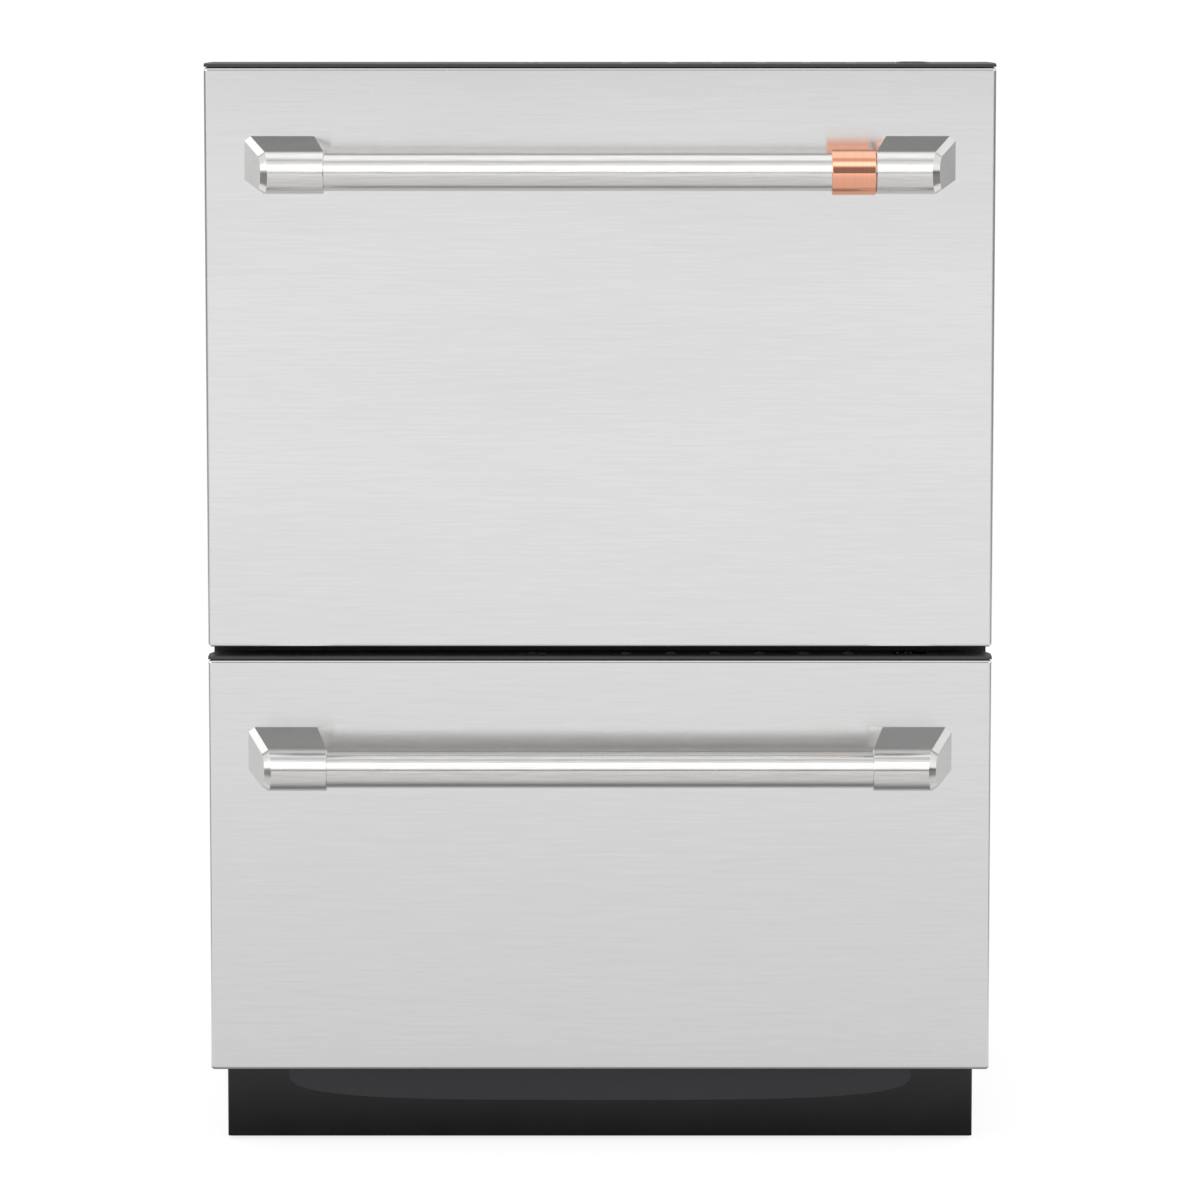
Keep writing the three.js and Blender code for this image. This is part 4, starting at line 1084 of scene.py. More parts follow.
def add_tub(drawer):
    """Moulded tub with coved floor, sump, post, rim and the rests under the rack."""
    tub = Tub(drawer)
    node = f"{drawer}_tub"
    base, rim = tub.base, tub.rim
    cove = [(COVE_WIDE * (1 - math.sin(turn)), COVE_HIGH * (1 - math.cos(turn)))
            for turn in spread(0, math.pi / 2, 8)]
    layers = [tub.sump(radius, base + rise) for radius, rise in ((66, 28), (72, 28.8), (75, 31), (75, 50))]
    layers += [tub.wall(inset, base + 59 + rise) for inset, rise in cove]
    layers += [tub.wall(inset, rim - drop) for inset, drop in (
        (0, 2), (0.4, 0.6), (1.2, 0), (RIM_WIDE - 1.4, 0), (RIM_WIDE - 0.3, 0.5), (RIM_WIDE, 1.4),
        (RIM_WIDE, RIM_HIGH), (TUB_WALL + 1, RIM_HIGH + 2.4), (TUB_WALL, RIM_HIGH + 4))]
    layers += [tub.wall(TUB_WALL + (COVE_WIDE - TUB_WALL) * inset / COVE_WIDE, base + 62 + rise)
               for inset, rise in reversed(cove)]
    layers += [tub.sump(radius, base + rise) for radius, rise in (
        (76, 53.6), (72, 52), (68, 31.6), (66, 31), (POST_RADIUS + 2, 31), (POST_RADIUS, 33),
        (POST_RADIUS - 0.6, 66.4), (POST_RADIUS - 1.6, 68))]
    body = Shape().stack(Z, layers, tub.middle)
    rack_floor = reach(f"{drawer}_rack")[0].z
    for x in (-225, 225):
        for y in (-144, 237):
            outline = rounded(7, 7, 2.5, 4)
            wide = rounded(8.5, 8.5, 3, 4)
            top = rack_floor - FIT
            body.stack(Z, [(base + 57, wide), (base + 64, wide), (top - 1, outline),
                           (top, rounded(6, 6, 2, 4))], (x, y))
    for turn in spread(0, 2 * math.pi, 13)[:-1]:
        out, across = spoke(turn, 1.2)
        centre = Vector((*tub.middle, 0))
        far = 200 if abs(out.x) + abs(out.y) < 1.3 else 226
        rib = [centre + out * 74 - across, centre + out * 74 + across,
               centre + out * far + across, centre + out * far - across]
        body.loft([[point + Vector((0, 0, z)) for point in rib[:2]]
                   + [point + Vector((0, 0, z + rise)) for point in rib[2:]]
                   for z, rise in ((base + 40, 13), (base + 52, 6))])
    make(node, body, "tub_plastic", node, edge=0.4, smooth=40)


def add_filter(drawer):
    """Strainer plate with rings of slots and a skirt under it."""
    node = f"{drawer}_filter_plate"
    tub = Tub(drawer)
    seat = tub.base + 53
    low, high = reach(node)
    outer = (high.x - low.x) / 2
    profile = ((67, -12), (67, 1), (outer - 3, 3), (outer - 0.6, 4.4), (outer, 5), (outer - 0.8, 6),
               (outer - 2, 6.5), (70, 7), (46, 7), (19, 7), (18.4, 6), (18.4, 4.4), (60, 4.2), (63, 2),
               (64, -12))
    plate = Shape().ring(Z, [(radius, seat + rise) for radius, rise in profile], tub.middle, 96)
    slots = Shape()
    for radius, count in ((28, 22), (36, 28), (44, 34), (53, 40), (76, 56), (84, 60), (92, 66)):
        for place in range(count):
            turn = 2 * math.pi * place / count
            out, across = spoke(turn, 0.95)
            centre = Vector((*tub.middle, 0)) + out * radius
            corners = [centre - out * 2.7 - across, centre + out * 2.7 - across,
                       centre + out * 2.7 + across, centre - out * 2.7 + across]
            slots.loft([[corner + Vector((0, 0, z)) for corner in corners] for z in (seat - 2, seat + 12)])
    make(node, plate, "grey_plastic", node, [slots], edge=0, smooth=40)


def add_spray_arm(drawer):
    """Two-armed rotor: a crowned blade with slotted nozzles, and a stepped hub with ribs on it."""
    node = f"{drawer}_spray_arm"
    low, high = reach(node)
    centre_y = (low.y + high.y) / 2
    under = low.z
    tip, far = 13.0, high.x
    hub, waist = 34, 26  # half widths of the blade at its hub and where the arms begin
    rings = []
    for place in spread(-1, 1, 61):
        x = place * far
        away = abs(x)
        if away < hub:
            half = hub - (hub - waist) * away / hub
        else:
            half = waist - tip * (away - hub) / (far - tip - hub)
        if away > far - tip:
            half = tip * math.sqrt(max(0.0025, 1 - ((away - far + tip) / tip) ** 2))
        thick = 4.5 * min(1, half / 8) ** 0.5
        rings.append([(x, centre_y + half * math.copysign(abs(math.cos(turn)) ** 0.7, math.cos(turn)),
                       under + 4.5 + thick * math.copysign(abs(math.sin(turn)) ** 0.7, math.sin(turn)))
                      for turn in [2 * math.pi * side / 28 for side in range(28)]])
    blade = Shape().loft(rings)
    crown = ((30, 4), (30, 8.4), (28, 9.6), (24, 12.6), (22, 13), (12, 13.2), (11, 14.6), (8, 15))
    blade.turned(Z, [(radius, under + rise) for radius, rise in crown], (0, centre_y), 64)
    for step in range(8):
        out, _ = spoke(step * math.pi / 4)
        blade.tube([out * 13 + Vector((0, centre_y, under + 13)),
                    out * 23 + Vector((0, centre_y, under + 12.6))], 1)
    slots = Shape()
    for side in (-1, 1):
        for place, x in enumerate(spread(62, 196, 6)):
            y = centre_y + side * (5 if place % 2 else -5) * (1 - place * 0.08)
            blade.stack(Z, [(under + 7.6, rounded(6.4, 3.6, 3.5)), (under + 9.1, rounded(5.4, 2.8, 2.7))],
                        (side * x, y))
            slots.block(around(side * x, 3.6), around(y, 0.9), (under + 6, under + 12), 0.85)
    make(node, blade, "grey_plastic", node, [slots], edge=0, smooth=40)


def add_wash_motor(drawer):
    """Flat pump motor: finned can, flange, volute, outlet and plug."""
    node = f"{drawer}_wash_motor"
    low, high = reach(node)
    base, y = low.z, Tub(drawer).middle[1]
    can = [(42, base), (46, base + 0.6), (49, base + 3), (49, base + 17), (57.4, base + 18.6),
           (58, base + 19.4), (58, high.z - 0.6), (57.4, high.z)]
    motor = Shape().turned(Z, can, (0, y), 96)
    for step in range(36):
        turn = step * math.pi / 18
        out, across = spoke(turn, 0.8)
        centre = Vector((0, y, 0))
        fin = [centre + out * 30 - across, centre + out * 50 - across,
               centre + out * 50 + across, centre + out * 30 + across]
        motor.loft([[point + Vector((0, 0, z)) for point in fin] for z in (base + 2.6, base + 17)])
    motor.block((30, 92), (y - 22, y + 8), (base + 5, base + 24), 6, Z)
    motor.block((-78, -46), around(y, 14), (base + 6, base + 18), 2, X)
    motor.turned(Y, [(8, y), (8, y + 52), (9, y + 53), (9, y + 56), (8, y + 57), (8, y + 70), (6.4, y + 70),
                     (6.2, y + 60)], (80, base + 14), 40)
    make(node, motor, "black_plastic", node, edge=0.5)


def add_lid(drawer):
    """Ribbed lid with a flat, lipped underside."""
    node = f"{drawer}_lid"
    low, high, middle, half_x, half_y = outline_of(node)
    lid = Shape().stack(Z, drawn_in(half_x, half_y, [
        (low.z, 1, 13), (low.z + 1, 0, 14), (high.z, 0, 14), (high.z, 4, 10), (low.z + 4, 4, 10),
        (low.z + 3, 6, 8)]), middle)
    for x in spread(-half_x, half_x, 9)[1:-1]:
        lid.block(around(x, 1.4), (low.y + 2, high.y - 2), (low.z + 2, high.z - 1.5))
    for y in spread(low.y, high.y, 7)[1:-1]:
        lid.block((low.x + 2, high.x - 2), around(y, 1.4), (low.z + 2, high.z - 1.5))
    for x in spread(-half_x, half_x, 9)[2:-1:2]:
        for y in spread(low.y, high.y, 7)[1:-1:2]:
            lid.turned(Z, [(7, low.z + 2), (6.4, high.z - 0.5)], (x, y), 24)
    make(node, lid, "grey_plastic", node, edge=0.4)


def add_lid_seal(drawer):
    """Bulb seal under the lid, with a thin lip that wipes the rim."""
    node = f"{drawer}_lid_seal"
    low, high = reach(node)
    tub = Tub(drawer)
    wide, outset = 6.5, (high.x - low.x) / 2 - tub.half_x
    bulb = [(wide * 0.5 + wide * 0.5 * math.cos(turn), low.z + 2.4 + 2.4 * math.sin(turn))
            for turn in spread(0, -math.pi, 11)]
    section = [(wide, high.z), (wide, high.z - 2), (wide - 0.9, high.z - 2.6)] + bulb + [
        (0.9, high.z - 2.6), (0, high.z - 2), (0, high.z)]
    layers = [[(tub.middle[0] + u, tub.middle[1] + v, z) for u, v in tub.wall(inset - outset, z)[1]]
              for inset, z in section]
    make(node, Shape().loft(layers, loop=True), "seal_rubber", node, edge=0)


class DISHWASHER_OT_tubs(bpy.types.Operator):
    """Add the tubs, filters, spray arms, wash motors, lids and seals"""
    bl_idname = "dishwasher.add_tubs"
    bl_label = "Tubs and Lids"

    def execute(self, context):
        for drawer in DRAWERS:
            for add in (add_tub, add_filter, add_spray_arm, add_wash_motor, add_lid, add_lid_seal):
                add(drawer)
        return {"FINISHED"}


# ---------------------------------------------------------------- racks

TINES = {"upper": (-118, 158), "lower": (-226, 96)}  # span of the tines along X
TINE_TOP = 72  # above the middle of the floor wires
WIRE_INSET = 2.2  # from the node's faces to the middle of its outer wires


class Rack:
    """Wire positions of one drawer's rack, read from the frame."""

    def __init__(self, drawer, sizes):
        node_low, node_high = reach(f"{drawer}_rack")
        self.low = node_low + Vector((WIRE_INSET,) * 3)
        self.high = node_high - Vector((WIRE_INSET,) * 3)
        self.wire = sizes.wire / MM / 2
        self.rim = sizes.rim_wire / MM / 2
        self.across = spread(self.low.y + 30, self.high.y - 34, 13)
        self.deep = spread(self.low.x + 30, self.high.x - 30, 17)
        self.tine_rows = [self.across[place] for place in (4, 8, 10)]
        self.fold_y = (self.across[6] + self.across[8]) / 2 - 8
        self.span = TINES[drawer]


def add_rack(drawer, sizes):
    """Coated wire rack: floor wires turned up as walls, rim, belts and upright tines."""
    rack = Rack(drawer, sizes)
    low, high, wire = rack.low, rack.high, rack.wire
    node = f"{drawer}_rack"
    shape = Shape()
    for y in rack.across:
        path = [(low.x, y, high.z), (low.x, y, low.z), (high.x, y, low.z), (high.x, y, high.z)]
        shape.tube(fillet(path, 16), wire)
    lap = low.z + 2.6
    for x in rack.deep:
        path = [(x, low.y, high.z), (x, low.y, lap), (x, high.y, lap), (x, high.y, high.z)]
        shape.tube(fillet(path, 16), wire)
    middle = ((low.x + high.x) / 2, (low.y + high.y) / 2)

    def belt(z, radius, inset=0):
        outline = rounded((high.x - low.x) / 2 - inset, (high.y - low.y) / 2 - inset, 22)
        shape.tube([(middle[0] + u, middle[1] + v, z) for u, v in outline], radius, 10, loop=True)

    belt(high.z - 0.4, rack.rim)
    belt((low.z + high.z) / 2, wire)
    belt(low.z + 34, wire)
    for y in rack.tine_rows:
        for x in spread(*rack.span, 13):
            shape.tube([(x, y, low.z), (x, y, low.z + TINE_TOP)], wire * 0.92, tip=True)
    make(node, shape, "rack_coat", node, edge=0, smooth=50)
    clips = Shape()
    for x in rack.span:
        clips.block((x - 5, x - 1.5) if x < 0 else (x + 1.5, x + 5), around(rack.fold_y, 5),
                    (low.z + 2, low.z + 14), 2.5, X)
    for y in (rack.across[1], rack.across[-2]):
        for side in HANDS.values():
            x = side * high.x
            clips.turned(X, [(7, x - side * 1.5), (8, x - side * 2), (8, x - side * 7), (6, x - side * 8)],
                         (y, low.z + 13), 32)
    make(f"{drawer}_rack_clips", clips, "grey_plastic", node, edge=0.4, slot="rack_coat")


def add_folding_tines(drawer, sizes):
    """Row of tines on a common axle, which folds towards the front."""
    rack = Rack(drawer, sizes)
    node = f"{drawer}_folding_tines"
    z = rack.low.z + 9
    start, end = rack.span
    shape = Shape().tube([(start, rack.fold_y, z), (end, rack.fold_y, z)], rack.wire, 10)
    half = (end - start) / 24
    for x in spread(start + half, end - half, 12):
        shape.tube([(x, rack.fold_y, z), (x, rack.fold_y, rack.low.z + TINE_TOP)], rack.wire * 0.92, tip=True)
    make(node, shape, "rack_coat", node, edge=0, smooth=50)


def add_cutlery_basket():
    """Basket with six wells and slotted walls."""
    node = "cutlery_basket"
    low, high, middle, half_x, half_y = outline_of(node)
    wall = 2.4
    basket = Shape().stack(Z, drawn_in(half_x, half_y, [
        (low.z, 1.6, 5), (low.z + 1.6, 0, 6), (high.z - 8, 0, 6), (high.z, 0, 6), (high.z, wall, 4),
        (low.z + wall + 1, wall, 4), (low.z + wall, wall + 1, 3)], 6), middle)
    divider = wall / 2
    basket.block(around(middle[0], divider), (low.y + 1, high.y - 1), (low.z + 1, high.z - 1))
    for y in spread(low.y + divider, high.y - divider, 4)[1:-1]:
        basket.block((low.x + 1, high.x - 1), around(y, divider), (low.z + 1, high.z - 1))
    across, along, floor = Shape(), Shape(), Shape()
    rows = spread(low.z + 10, high.z - 14, 5)
    for z0, z1 in zip(rows, rows[1:]):
        for y in spread(low.y + 9, high.y - 9, 26):
            across.block((low.x - 5, high.x + 5), around(y, 2.7), (z0 + 1.6, z1 - 1.6), 2, X)
        for x in spread(low.x + 8, high.x - 8, 8):
            along.block(around(x, 2.4), (low.y - 5, high.y + 5), (z0 + 1.6, z1 - 1.6), 2, Y)
    for x in spread(low.x + 9, high.x - 9, 7):
        for y in spread(low.y + 9, high.y - 9, 22):
            floor.block(around(x, 2.6), around(y, 3.4), (low.z - 3, low.z + wall * 2), 2, Z)
    make(node, basket, "grey_plastic", node, [across, along, floor], edge=0)


class DISHWASHER_OT_racks(bpy.types.Operator):
    """Add the wire racks with their folding tines and the cutlery basket"""
    bl_idname = "dishwasher.add_racks"
    bl_label = "Racks"

    def execute(self, context):
        for drawer in DRAWERS:
            add_rack(drawer, context.scene.dishwasher_sizes)
            add_folding_tines(drawer, context.scene.dishwasher_sizes)
        add_cutlery_basket()
        return {"FINISHED"}


# ---------------------------------------------------------------- dispensers

WELL = 60.0


def add_dispenser(drawer):
    """Detergent dispenser: rounded body, open well between guide ridges, rinse-aid cap and level window."""
    node = f"{drawer}_dispenser"
    low, high, centre, half_x, half_z = outline_of(node, X, Z)
    back = high.y - 4
    middle = centre[1]
    body = Shape().stack(Y, drawn_in(half_x, half_z, [
        (low.y, 0, 9), (back - 5, 0, 9), (back - 1.6, 0.8, 8.4), (back - 0.4, 2, 7.6),
        (back, 3.4, 6.6)]), centre)
    for side in (-1, 1):
        z = middle + side * 37.5
        body.block((low.x + 5, high.x - 36), (back - 1, back + 3.6), around(z, 1.5), 1.2, Y)
    well = Shape().block((low.x + 10, low.x + 10 + WELL), (back - 12, back + 1), around(middle, WELL / 2), 9, Y)
    window = Shape().block((high.x - 31, high.x - 7), (back - 0.8, back + 1), (middle + 24, middle + 34), 3, Y)
    make(node, body, "grey_plastic", node, [well, window], edge=0.5)
    cap_centre = (high.x - 19, middle)
    cap = Shape().turned(Y, [(15.4, back - 0.4), (15.4, back + 0.3), (13.2, back + 0.4), (13, back + 2.6),
                             (12, back + 3.2), (10.4, back + 2.2), (9, back + 2)], cap_centre, 64)
    cap.block(around(cap_centre[0], 9.4), (back + 1.6, high.y), around(middle, 1.6), 1.4, Y)
    make(f"{drawer}_rinse_cap", cap, "black_plastic", node, edge=0.25, slot="grey_plastic")
    lens = Shape().block((high.x - 30.4, high.x - 7.6), (back - 1, back - 0.35),
                         (middle + 24.6, middle + 33.4), 2.6, Y)
    for place in range(4):
        x = high.x - 26 + place * 4.6
        lens.block(around(x, 0.4), (back - 1, back - 0.2), (middle + 26.5, middle + 31.5), 0.3, Y)
    make(f"{drawer}_rinse_window", lens, "pale_plastic", node, edge=0.15, slot="grey_plastic")


def add_dispenser_lid(drawer):
    """Sliding cover of the well, with a grip and ribs."""
    node = f"{drawer}_dispenser_lid"
    low, high, middle, half_x, half_z = outline_of(node, X, Z)
    face = low.y + 3
    lid = Shape().stack(Y, drawn_in(half_x, half_z, [
        (low.y, 0.2, 4), (face - 0.7, 0, 4.2), (face - 0.2, 0.4, 4), (face, 1.2, 3.4)], 6), middle)
    lid.block((high.x - 10, high.x - 6), (face - 1, high.y), around(middle[1], 16), 1.4, Y)
    for x in spread(low.x + 12, high.x - 20, 6):
        lid.block(around(x, 1), (face - 0.6, face + 0.5), around(middle[1], 24), 0.9, Y)
    make(node, lid, "dark_plastic", node, edge=0.3)


class DISHWASHER_OT_dispensers(bpy.types.Operator):
    """Add the detergent dispensers and their sliding lids"""
    bl_idname = "dishwasher.add_dispensers"
    bl_label = "Dispensers"

    def execute(self, context):
        for drawer in DRAWERS:
            add_dispenser(drawer)
            add_dispenser_lid(drawer)
        return {"FINISHED"}


# ---------------------------------------------------------------- stage

class Levels:
    """Levels of brightness worked out by nodes, for the floor and the surroundings."""

    def __init__(self, tree):
        self.nodes, self.links = tree.nodes, tree.links

    def put(self, socket, value):
        """Sets a socket to a number, or links it."""
        if isinstance(value, (int, float)):
            socket.default_value = value
        else:
            self.links.new(value, socket)

    def maths(self, operation, *values):
        """One step of arithmetic."""
        node = self.nodes.new("ShaderNodeMath")
        node.operation = operation
        for socket, value in zip(node.inputs, values):
            self.put(socket, value)
        return node.outputs[0]

    def times(self, first, *others):
        """The product of all of them."""
        for other in others:
            first = self.maths("MULTIPLY", first, other)
        return first

    def ease(self, value, start, end, low=0.0, high=1.0):
        """Goes smoothly from low to high while the value goes from start to end."""
        node = self.nodes.new("ShaderNodeMapRange")
        node.interpolation_type = "SMOOTHSTEP"
        for socket, number in zip(("From Min", "From Max", "To Min", "To Max"), (start, end, low, high)):
            node.inputs[socket].default_value = number
        self.links.new(value, node.inputs["Value"])
        return node.outputs["Result"]

    def rightward(self, x):
        """0 at the left of the machine's middle and 1 at the right."""
        return self.ease(x, -0.05, 0.05)

    def blend(self, share, first, second):
        """Goes from the first level to the second as the share goes from 0 to 1."""
        node = self.nodes.new("ShaderNodeMix")
        for socket, value in zip(("Factor", "A", "B"), (share, first, second)):
            self.put(node.inputs[socket], value)
        return node.outputs["Result"]

    def axes(self, kind, output):
        """The three numbers of a place or a direction."""
        node = self.nodes.new("ShaderNodeSeparateXYZ")
        self.links.new(self.nodes.new(kind).outputs[output], node.inputs[0])
        return [node.outputs[axis] for axis in "XYZ"]

    def ramp(self, value, stops):
        """The level at a value, between stops given as (place, level)."""
        node = self.nodes.new("ShaderNodeValToRGB")
        while len(node.color_ramp.elements) < len(stops):
            node.color_ramp.elements.new(0.5)
        for element, (place, level) in zip(node.color_ramp.elements, stops):
            element.position = place
            element.color = (level, level, level, 1)
        self.links.new(value, node.inputs["Fac"])
        return node.outputs["Color"]

    def rays(self, *names):
        """1 for the rays of those kinds, and 0 for the others."""
        path = self.nodes.new("ShaderNodeLightPath")
        total = path.outputs[f"Is {names[0]} Ray"]
        for name in names[1:]:
            total = self.maths("MAXIMUM", total, path.outputs[f"Is {name} Ray"])
        return total


SEEN = ("Camera", "Glossy", "Transmission")  # kinds of rays that look at the stage and don't light by it
FLOOR_HALF = 60
SOFTBOX_SIZE, SOFTBOX_AIM = (2.6, 2.6), (0, -0.2, 0.4)
NARROW_FAN, WIDE_FAN = 0.17, 1.2  # metres that two strips of floor widen by, for each metre ahead of the fronts


def add_floor(stage):
    """Pale floor: white to the camera apart from the shadow on it, and for gloss dimmer near the machine, with
    a painted shadow at its fronts and under it.
    """
    half = FLOOR_HALF
    mesh = bpy.data.meshes.new("floor")
    corners = [(-half, -half, 0), (half, -half, 0), (half, half, 0), (-half, half, 0)]
    mesh.from_pydata(corners, [], [(0, 1, 2, 3)])
    floor = new_object("floor", mesh)
    material = bpy.data.materials.new("pale_floor")
    material.use_nodes = True
    nodes, links = material.node_tree.nodes, material.node_tree.links
    shader = nodes["Principled BSDF"]
    shader.inputs["Base Color"].default_value = (*stage.floor_colour, 1)
    shader.inputs["Roughness"].default_value = 0.9
    levels = Levels(material.node_tree)
    x, y, _ = levels.axes("ShaderNodeNewGeometry", "Position")
    ahead = levels.maths("SUBTRACT", FACE_Y * MM, y)
    across = levels.maths("ABSOLUTE", x)
    outward = levels.maths("SUBTRACT", across, levels.times(ahead, NARROW_FAN))
    beside = levels.maths("SUBTRACT", across, levels.times(ahead, WIDE_FAN))
    hand = levels.blend(levels.rightward(x), stage.left_floor, stage.right_floor)
    # What gloss sees: a painted shadow near the fronts and right under the machine, where it is nearly dark,
    # and dimmer beside the machine and far out.
    dark_side = levels.times(levels.ease(beside, 0.2, 0.45), levels.ease(across, 0.7, 1.3))
    far_hand = levels.times(levels.ease(outward, 0.4, 0.8), levels.ease(ahead, 1.8, 3.6))
    front = levels.times(levels.ease(ahead, 0.0, 7.5, stage.near_floor_painted_shade, 1.0),
                         levels.blend(dark_side, 1.0, stage.side_floor),
                         levels.blend(far_hand, 1.0, hand))
    # Painted shadow on the floor right under the machine, seen only in reflections.
    under = levels.times(levels.ease(ahead, 0.28, -0.02), levels.ease(across, 0.6, 0.3),
                         levels.ease(y, 0.6, 0.2))
    back = levels.ease(across, 3.5, 5.0, stage.back_floor, 0.2)
    gloss = levels.times(levels.blend(levels.ease(ahead, 0.02, -0.06), front, back),
                         levels.blend(under, 1.0, 0.08))
    strength = levels.blend(levels.rays("Glossy"), stage.floor_glow, levels.times(gloss, stage.floor_glow))
    glow = nodes.new("ShaderNodeEmission")
    levels.put(glow.inputs["Strength"], strength)
    mix = nodes.new("ShaderNodeMixShader")
    levels.put(mix.inputs["Fac"], levels.times(levels.rays(*SEEN), stage.floor_glow_share))
    links.new(shader.outputs["BSDF"], mix.inputs[1])
    links.new(glow.outputs["Emission"], mix.inputs[2])
    links.new(mix.outputs["Shader"], nodes["Material Output"].inputs["Surface"])
    material.cycles.emission_sampling = "NONE"
    floor.data.materials.append(material)


def add_world(stage):
    """White surroundings, which gloss sees with dim belts over the horizon in front and behind."""
    world = bpy.data.worlds.new("studio")
    bpy.context.scene.world = world
    world.use_nodes = True
    levels = Levels(world.node_tree)
    x, y, z = levels.axes("ShaderNodeTexCoord", "Generated")
    belt = levels.ramp(z, [(math.sin(math.radians(angle)), level) for angle, level in stage_levels(stage)])
    sides = levels.blend(levels.rightward(x), stage.left_glow, stage.right_glow)
    sides = levels.blend(levels.ease(z, 0.6, 0.45), 1.0, sides)
    front = levels.blend(levels.ease(levels.maths("ABSOLUTE", x), 0.24, 0.16), sides, belt)
    low = levels.times(levels.ease(z, 0.24, 0.32), levels.ease(z, 0.6, 0.5), levels.ease(y, 0.14, 0.3))
    high = levels.ease(z, 0.78, 0.88, 1.0, 1.25)
    behind = levels.blend(low, high, stage.back_belt)
    gloss = levels.blend(levels.ease(y, 0.1, -0.3), behind, front)
    edge = levels.times(levels.ease(levels.maths("ABSOLUTE", x), 0.6, 0.75), levels.ease(z, 0.16, 0.08),
                        levels.ease(y, 0.9, 0.8))
    gloss = levels.blend(edge, gloss, levels.blend(levels.rightward(x), 0.4, 0.1))
    shown = levels.blend(levels.rays("Glossy"), 1.0, gloss)
    light = levels.blend(levels.rays(*SEEN), stage.world_light, 1.0)
    background = world.node_tree.nodes["Background"]
    background.inputs["Color"].default_value = (1, 1, 1, 1)
    levels.put(background.inputs["Strength"], levels.times(shown, light))
    world.cycles.sampling_method = "NONE"


def stage_levels(stage):
    """Elevation in degrees and brightness of the surroundings in front."""
    return ((0, stage.belt), (27, stage.belt), (36, 1.0), (60, 1.0), (68, 0.68), (80, 0.72), (90, 1.1))


def add_lamp(name, place, aim, size, power, in_gloss=True):
    """A soft rectangular lamp, unseen by the camera itself."""
    lamp = bpy.data.lights.new(name, "AREA")
    lamp.shape = "RECTANGLE"
    lamp.size, lamp.size_y = size
    lamp.energy = power
    holder = new_object(name, lamp)
    holder.location = place
    holder.rotation_euler = (Vector(aim) - Vector(place)).to_track_quat("-Z", "Y").to_euler()
    holder.visible_camera = False
    holder.visible_glossy = in_gloss
    return holder


def add_camera(stage):
    """Camera in front of the machine, a little above it, looking slightly down."""
    target = Vector((0, FACE_Y * MM, stage.aim_height))
    camera = new_object("camera", bpy.data.cameras.new("camera"))
    camera.data.sensor_width = 36
    camera.data.lens = stage.lens
    camera.data.clip_end = 200
    pitch = stage.camera_pitch
    camera.location = target + stage.camera_distance * Vector((0, -math.cos(pitch), math.sin(pitch)))
    camera.rotation_euler = (target - camera.location).to_track_quat("-Z", "Y").to_euler()
    bpy.context.scene.camera = camera


class DISHWASHER_OT_stage(bpy.types.Operator):
    """Add the floor, the surroundings, the lamps and the camera"""
    bl_idname = "dishwasher.add_stage"
    bl_label = "Stage"

    def execute(self, context):
        stage = context.scene.dishwasher_stage
        add_camera(stage)
        add_floor(stage)
        add_world(stage)
        add_lamp("key_softbox", (-2.2, -3.4, 3.6), SOFTBOX_AIM, SOFTBOX_SIZE, stage.key_lamp, in_gloss=False)
        add_lamp("fill_softbox", (2.8, -3.0, 2.6), SOFTBOX_AIM, SOFTBOX_SIZE, stage.fill_lamp, in_gloss=False)
        strip = add_lamp("handle_strip", (0, -4.2, 2.5), (0, -0.3, 0.7), (9.0, 2.95), stage.handle_lamp)
        strip.light_linking.receiver_collection = lit_group("handle_metal")
        glint = add_lamp("copper_strip", (0, -3.7, 4.4), (0, -0.3, 0.76), (9.0, 1.7), stage.copper_lamp)
        glint.light_linking.receiver_collection = lit_group("copper_metal")
        context.scene.view_settings.view_transform = "Standard"
        return {"FINISHED"}


# ---------------------------------------------------------------- settings

def colour(name, description, default):
    """A colour that the user may change."""
    return FloatVectorProperty(name=name, description=description, default=default, subtype="COLOR", size=3,
                               min=0, max=1)


def number(name, description, default, **kind):
    """A number that the user may change."""
    return FloatProperty(name=name, description=description, default=default, **kind)


def length(name, description, default):
    """A length in millimetres, kept in metres."""
    return number(name, description, default * MM, unit="LENGTH", precision=5)


class DISHWASHER_PG_finishes(bpy.types.PropertyGroup):
    """Colours of the finishes"""
    stainless: colour("Stainless", "Brushed sheet of the fronts", (0.82, 0.82, 0.82))
    handle: colour("Handle metal", "Satin metal of bars and brackets", (0.74, 0.73, 0.72))
    copper: colour("Copper", "Polished band", (0.96, 0.46, 0.31))
    galvanised: colour("Galvanised sheet", "Casing, back and rail", (0.55, 0.57, 0.58))
    slide: colour("Slide steel", "Slides, shafts and screws", (0.6, 0.6, 0.59))
    dark: colour("Dark plastic", "Caps, carriers and tray", (0.045, 0.046, 0.048))
    black: colour("Black plastic", "Motors and feet", (0.018, 0.018, 0.02))
    gloss: colour("Gloss black", "Kick plate and buttons", (0.006, 0.006, 0.007))
    # Lighter than the gloss black: a painted reflection of the floor on the kick plate's raised oval.
    relief: colour("Kick plate relief", "Raised oval of the kick plate", (0.04, 0.04, 0.046))
    tub: colour("Tub plastic", "Speckled tub", (0.62, 0.63, 0.635))
    grey: colour("Grey plastic", "Lids, dispensers, basket and spray arms", (0.27, 0.285, 0.3))
    pale: colour("Pale plastic", "Prints, windows and ball cages", (0.7, 0.71, 0.72))
    coat: colour("Rack coat", "Coating of the wire racks", (0.27, 0.29, 0.31))
    rubber: colour("Seal rubber", "Lid seals and bumpers", (0.032, 0.032, 0.034))


class DISHWASHER_PG_sizes(bpy.types.PropertyGroup):
    """Fine sizes of the visible pieces"""
    sheet_bend: length("Sheet bend", "Outside radius of the folded edges of a front", 2.4)
    sheet_corner: length("Sheet corner", "Radius of the corners of a front", 2.8)
    wire: length("Wire", "Thickness of the rack wires", 3.8)
    rim_wire: length("Rim wire", "Thickness of the racks' top wire", 5.2)


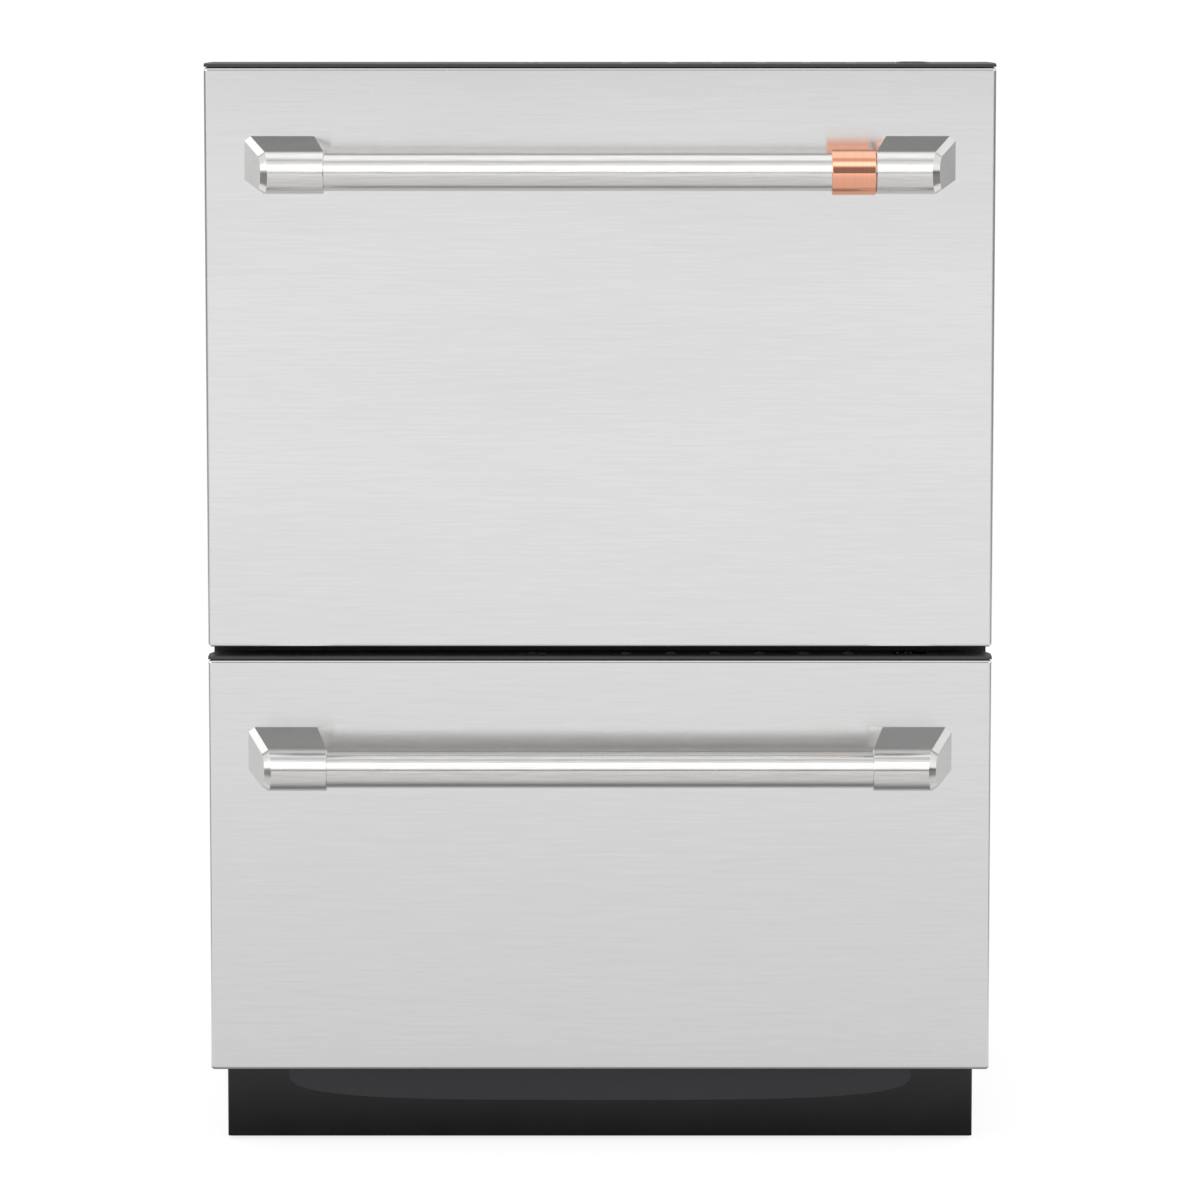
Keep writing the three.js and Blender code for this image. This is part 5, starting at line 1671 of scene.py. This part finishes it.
class DISHWASHER_PG_stage(bpy.types.PropertyGroup):
    """Camera, floor and lamps"""
    camera_distance: number("Camera distance", "From the fronts to the camera", 5.0, unit="LENGTH")
    camera_pitch: number("Camera pitch", "How far the camera looks down", math.radians(7.35), subtype="ANGLE")
    aim_height: number("Aim height", "Height on the fronts that the camera aims at", 0.4291, unit="LENGTH")
    lens: number("Lens", "Focal length", 196.9, unit="CAMERA")
    floor_colour: colour("Floor", "Colour of the floor", (0.9, 0.9, 0.9))
    floor_glow: number("Floor white", "Level that the floor shows", 1.2)
    floor_glow_share: number("Floor white share", "Share that no shadow reaches", 0.7, subtype="FACTOR")
    belt: number("Belt", "Level of the surroundings just over the horizon, for gloss", 0.28)
    world_light: number("World light", "Light that the surroundings cast", 0.75)
    # Painted shadow: level of the floor at the fronts, seen in reflections.
    near_floor_painted_shade: number("Near floor", "Level of the floor at the fronts, for gloss", 0.6)
    left_floor: number("Left floor", "Level of the floor at the left, for gloss", 0.5)
    right_floor: number("Right floor", "Level of the floor at the right, for gloss", 0.16)
    back_floor: number("Back floor", "Level of the floor behind the fronts, for gloss", 0.9)
    left_glow: number("Left glow", "Level of the surroundings at the front left, for gloss", 1.65)
    right_glow: number("Right glow", "Level of the surroundings at the front right, for gloss", 1.2)
    back_belt: number("Back belt", "Level of the surroundings over the horizon behind, for gloss", 0.35)
    side_floor: number("Side floor", "Level of the floor beside the machine, for gloss", 0.08)
    key_lamp: number("Key lamp", "Power of the key softbox", 50, unit="POWER")
    fill_lamp: number("Fill lamp", "Power of the fill softbox", 25, unit="POWER")
    handle_lamp: number("Handle lamp", "Power of the strip that lights the handles' metal", 95, unit="POWER")
    copper_lamp: number("Copper lamp", "Power of the strip that lights the copper band", 38, unit="POWER")


class DISHWASHER_PT_panel(bpy.types.Panel):
    """Lists the groups of pieces and their settings"""
    bl_label = "Dishwasher"
    bl_idname = "DISHWASHER_PT_panel"
    bl_space_type = "VIEW_3D"
    bl_region_type = "UI"
    bl_category = "Dishwasher"

    def draw(self, context):
        for settings in (context.scene.dishwasher_finishes, context.scene.dishwasher_sizes,
                         context.scene.dishwasher_stage):
            box = self.layout.box()
            for name in settings.bl_rna.properties.keys():
                if name not in ("name", "rna_type"):
                    box.prop(settings, name)
        for step in STEPS:
            self.layout.operator(step.bl_idname)


STEPS = (DISHWASHER_OT_stage, DISHWASHER_OT_fronts, DISHWASHER_OT_handles, DISHWASHER_OT_chassis,
         DISHWASHER_OT_connections, DISHWASHER_OT_slides, DISHWASHER_OT_tubs, DISHWASHER_OT_racks,
         DISHWASHER_OT_dispensers)
SETTINGS = {"dishwasher_finishes": DISHWASHER_PG_finishes, "dishwasher_sizes": DISHWASHER_PG_sizes,
            "dishwasher_stage": DISHWASHER_PG_stage}
CLASSES = (*SETTINGS.values(), *STEPS, DISHWASHER_PT_panel)


def register():
    """Makes the settings, the operators and the panel known to Blender."""
    for each in CLASSES:
        bpy.utils.register_class(each)
    for name, settings in SETTINGS.items():
        setattr(bpy.types.Scene, name, PointerProperty(type=settings))


def unregister():
    """Takes them away again."""
    for name in SETTINGS:
        delattr(bpy.types.Scene, name)
    for each in reversed(CLASSES):
        bpy.utils.unregister_class(each)


def main():
    """Builds everything in order."""
    register()
    for step in STEPS:
        group, name = step.bl_idname.split(".")
        getattr(getattr(bpy.ops, group), name)()


if __name__ == "__main__":
    main()
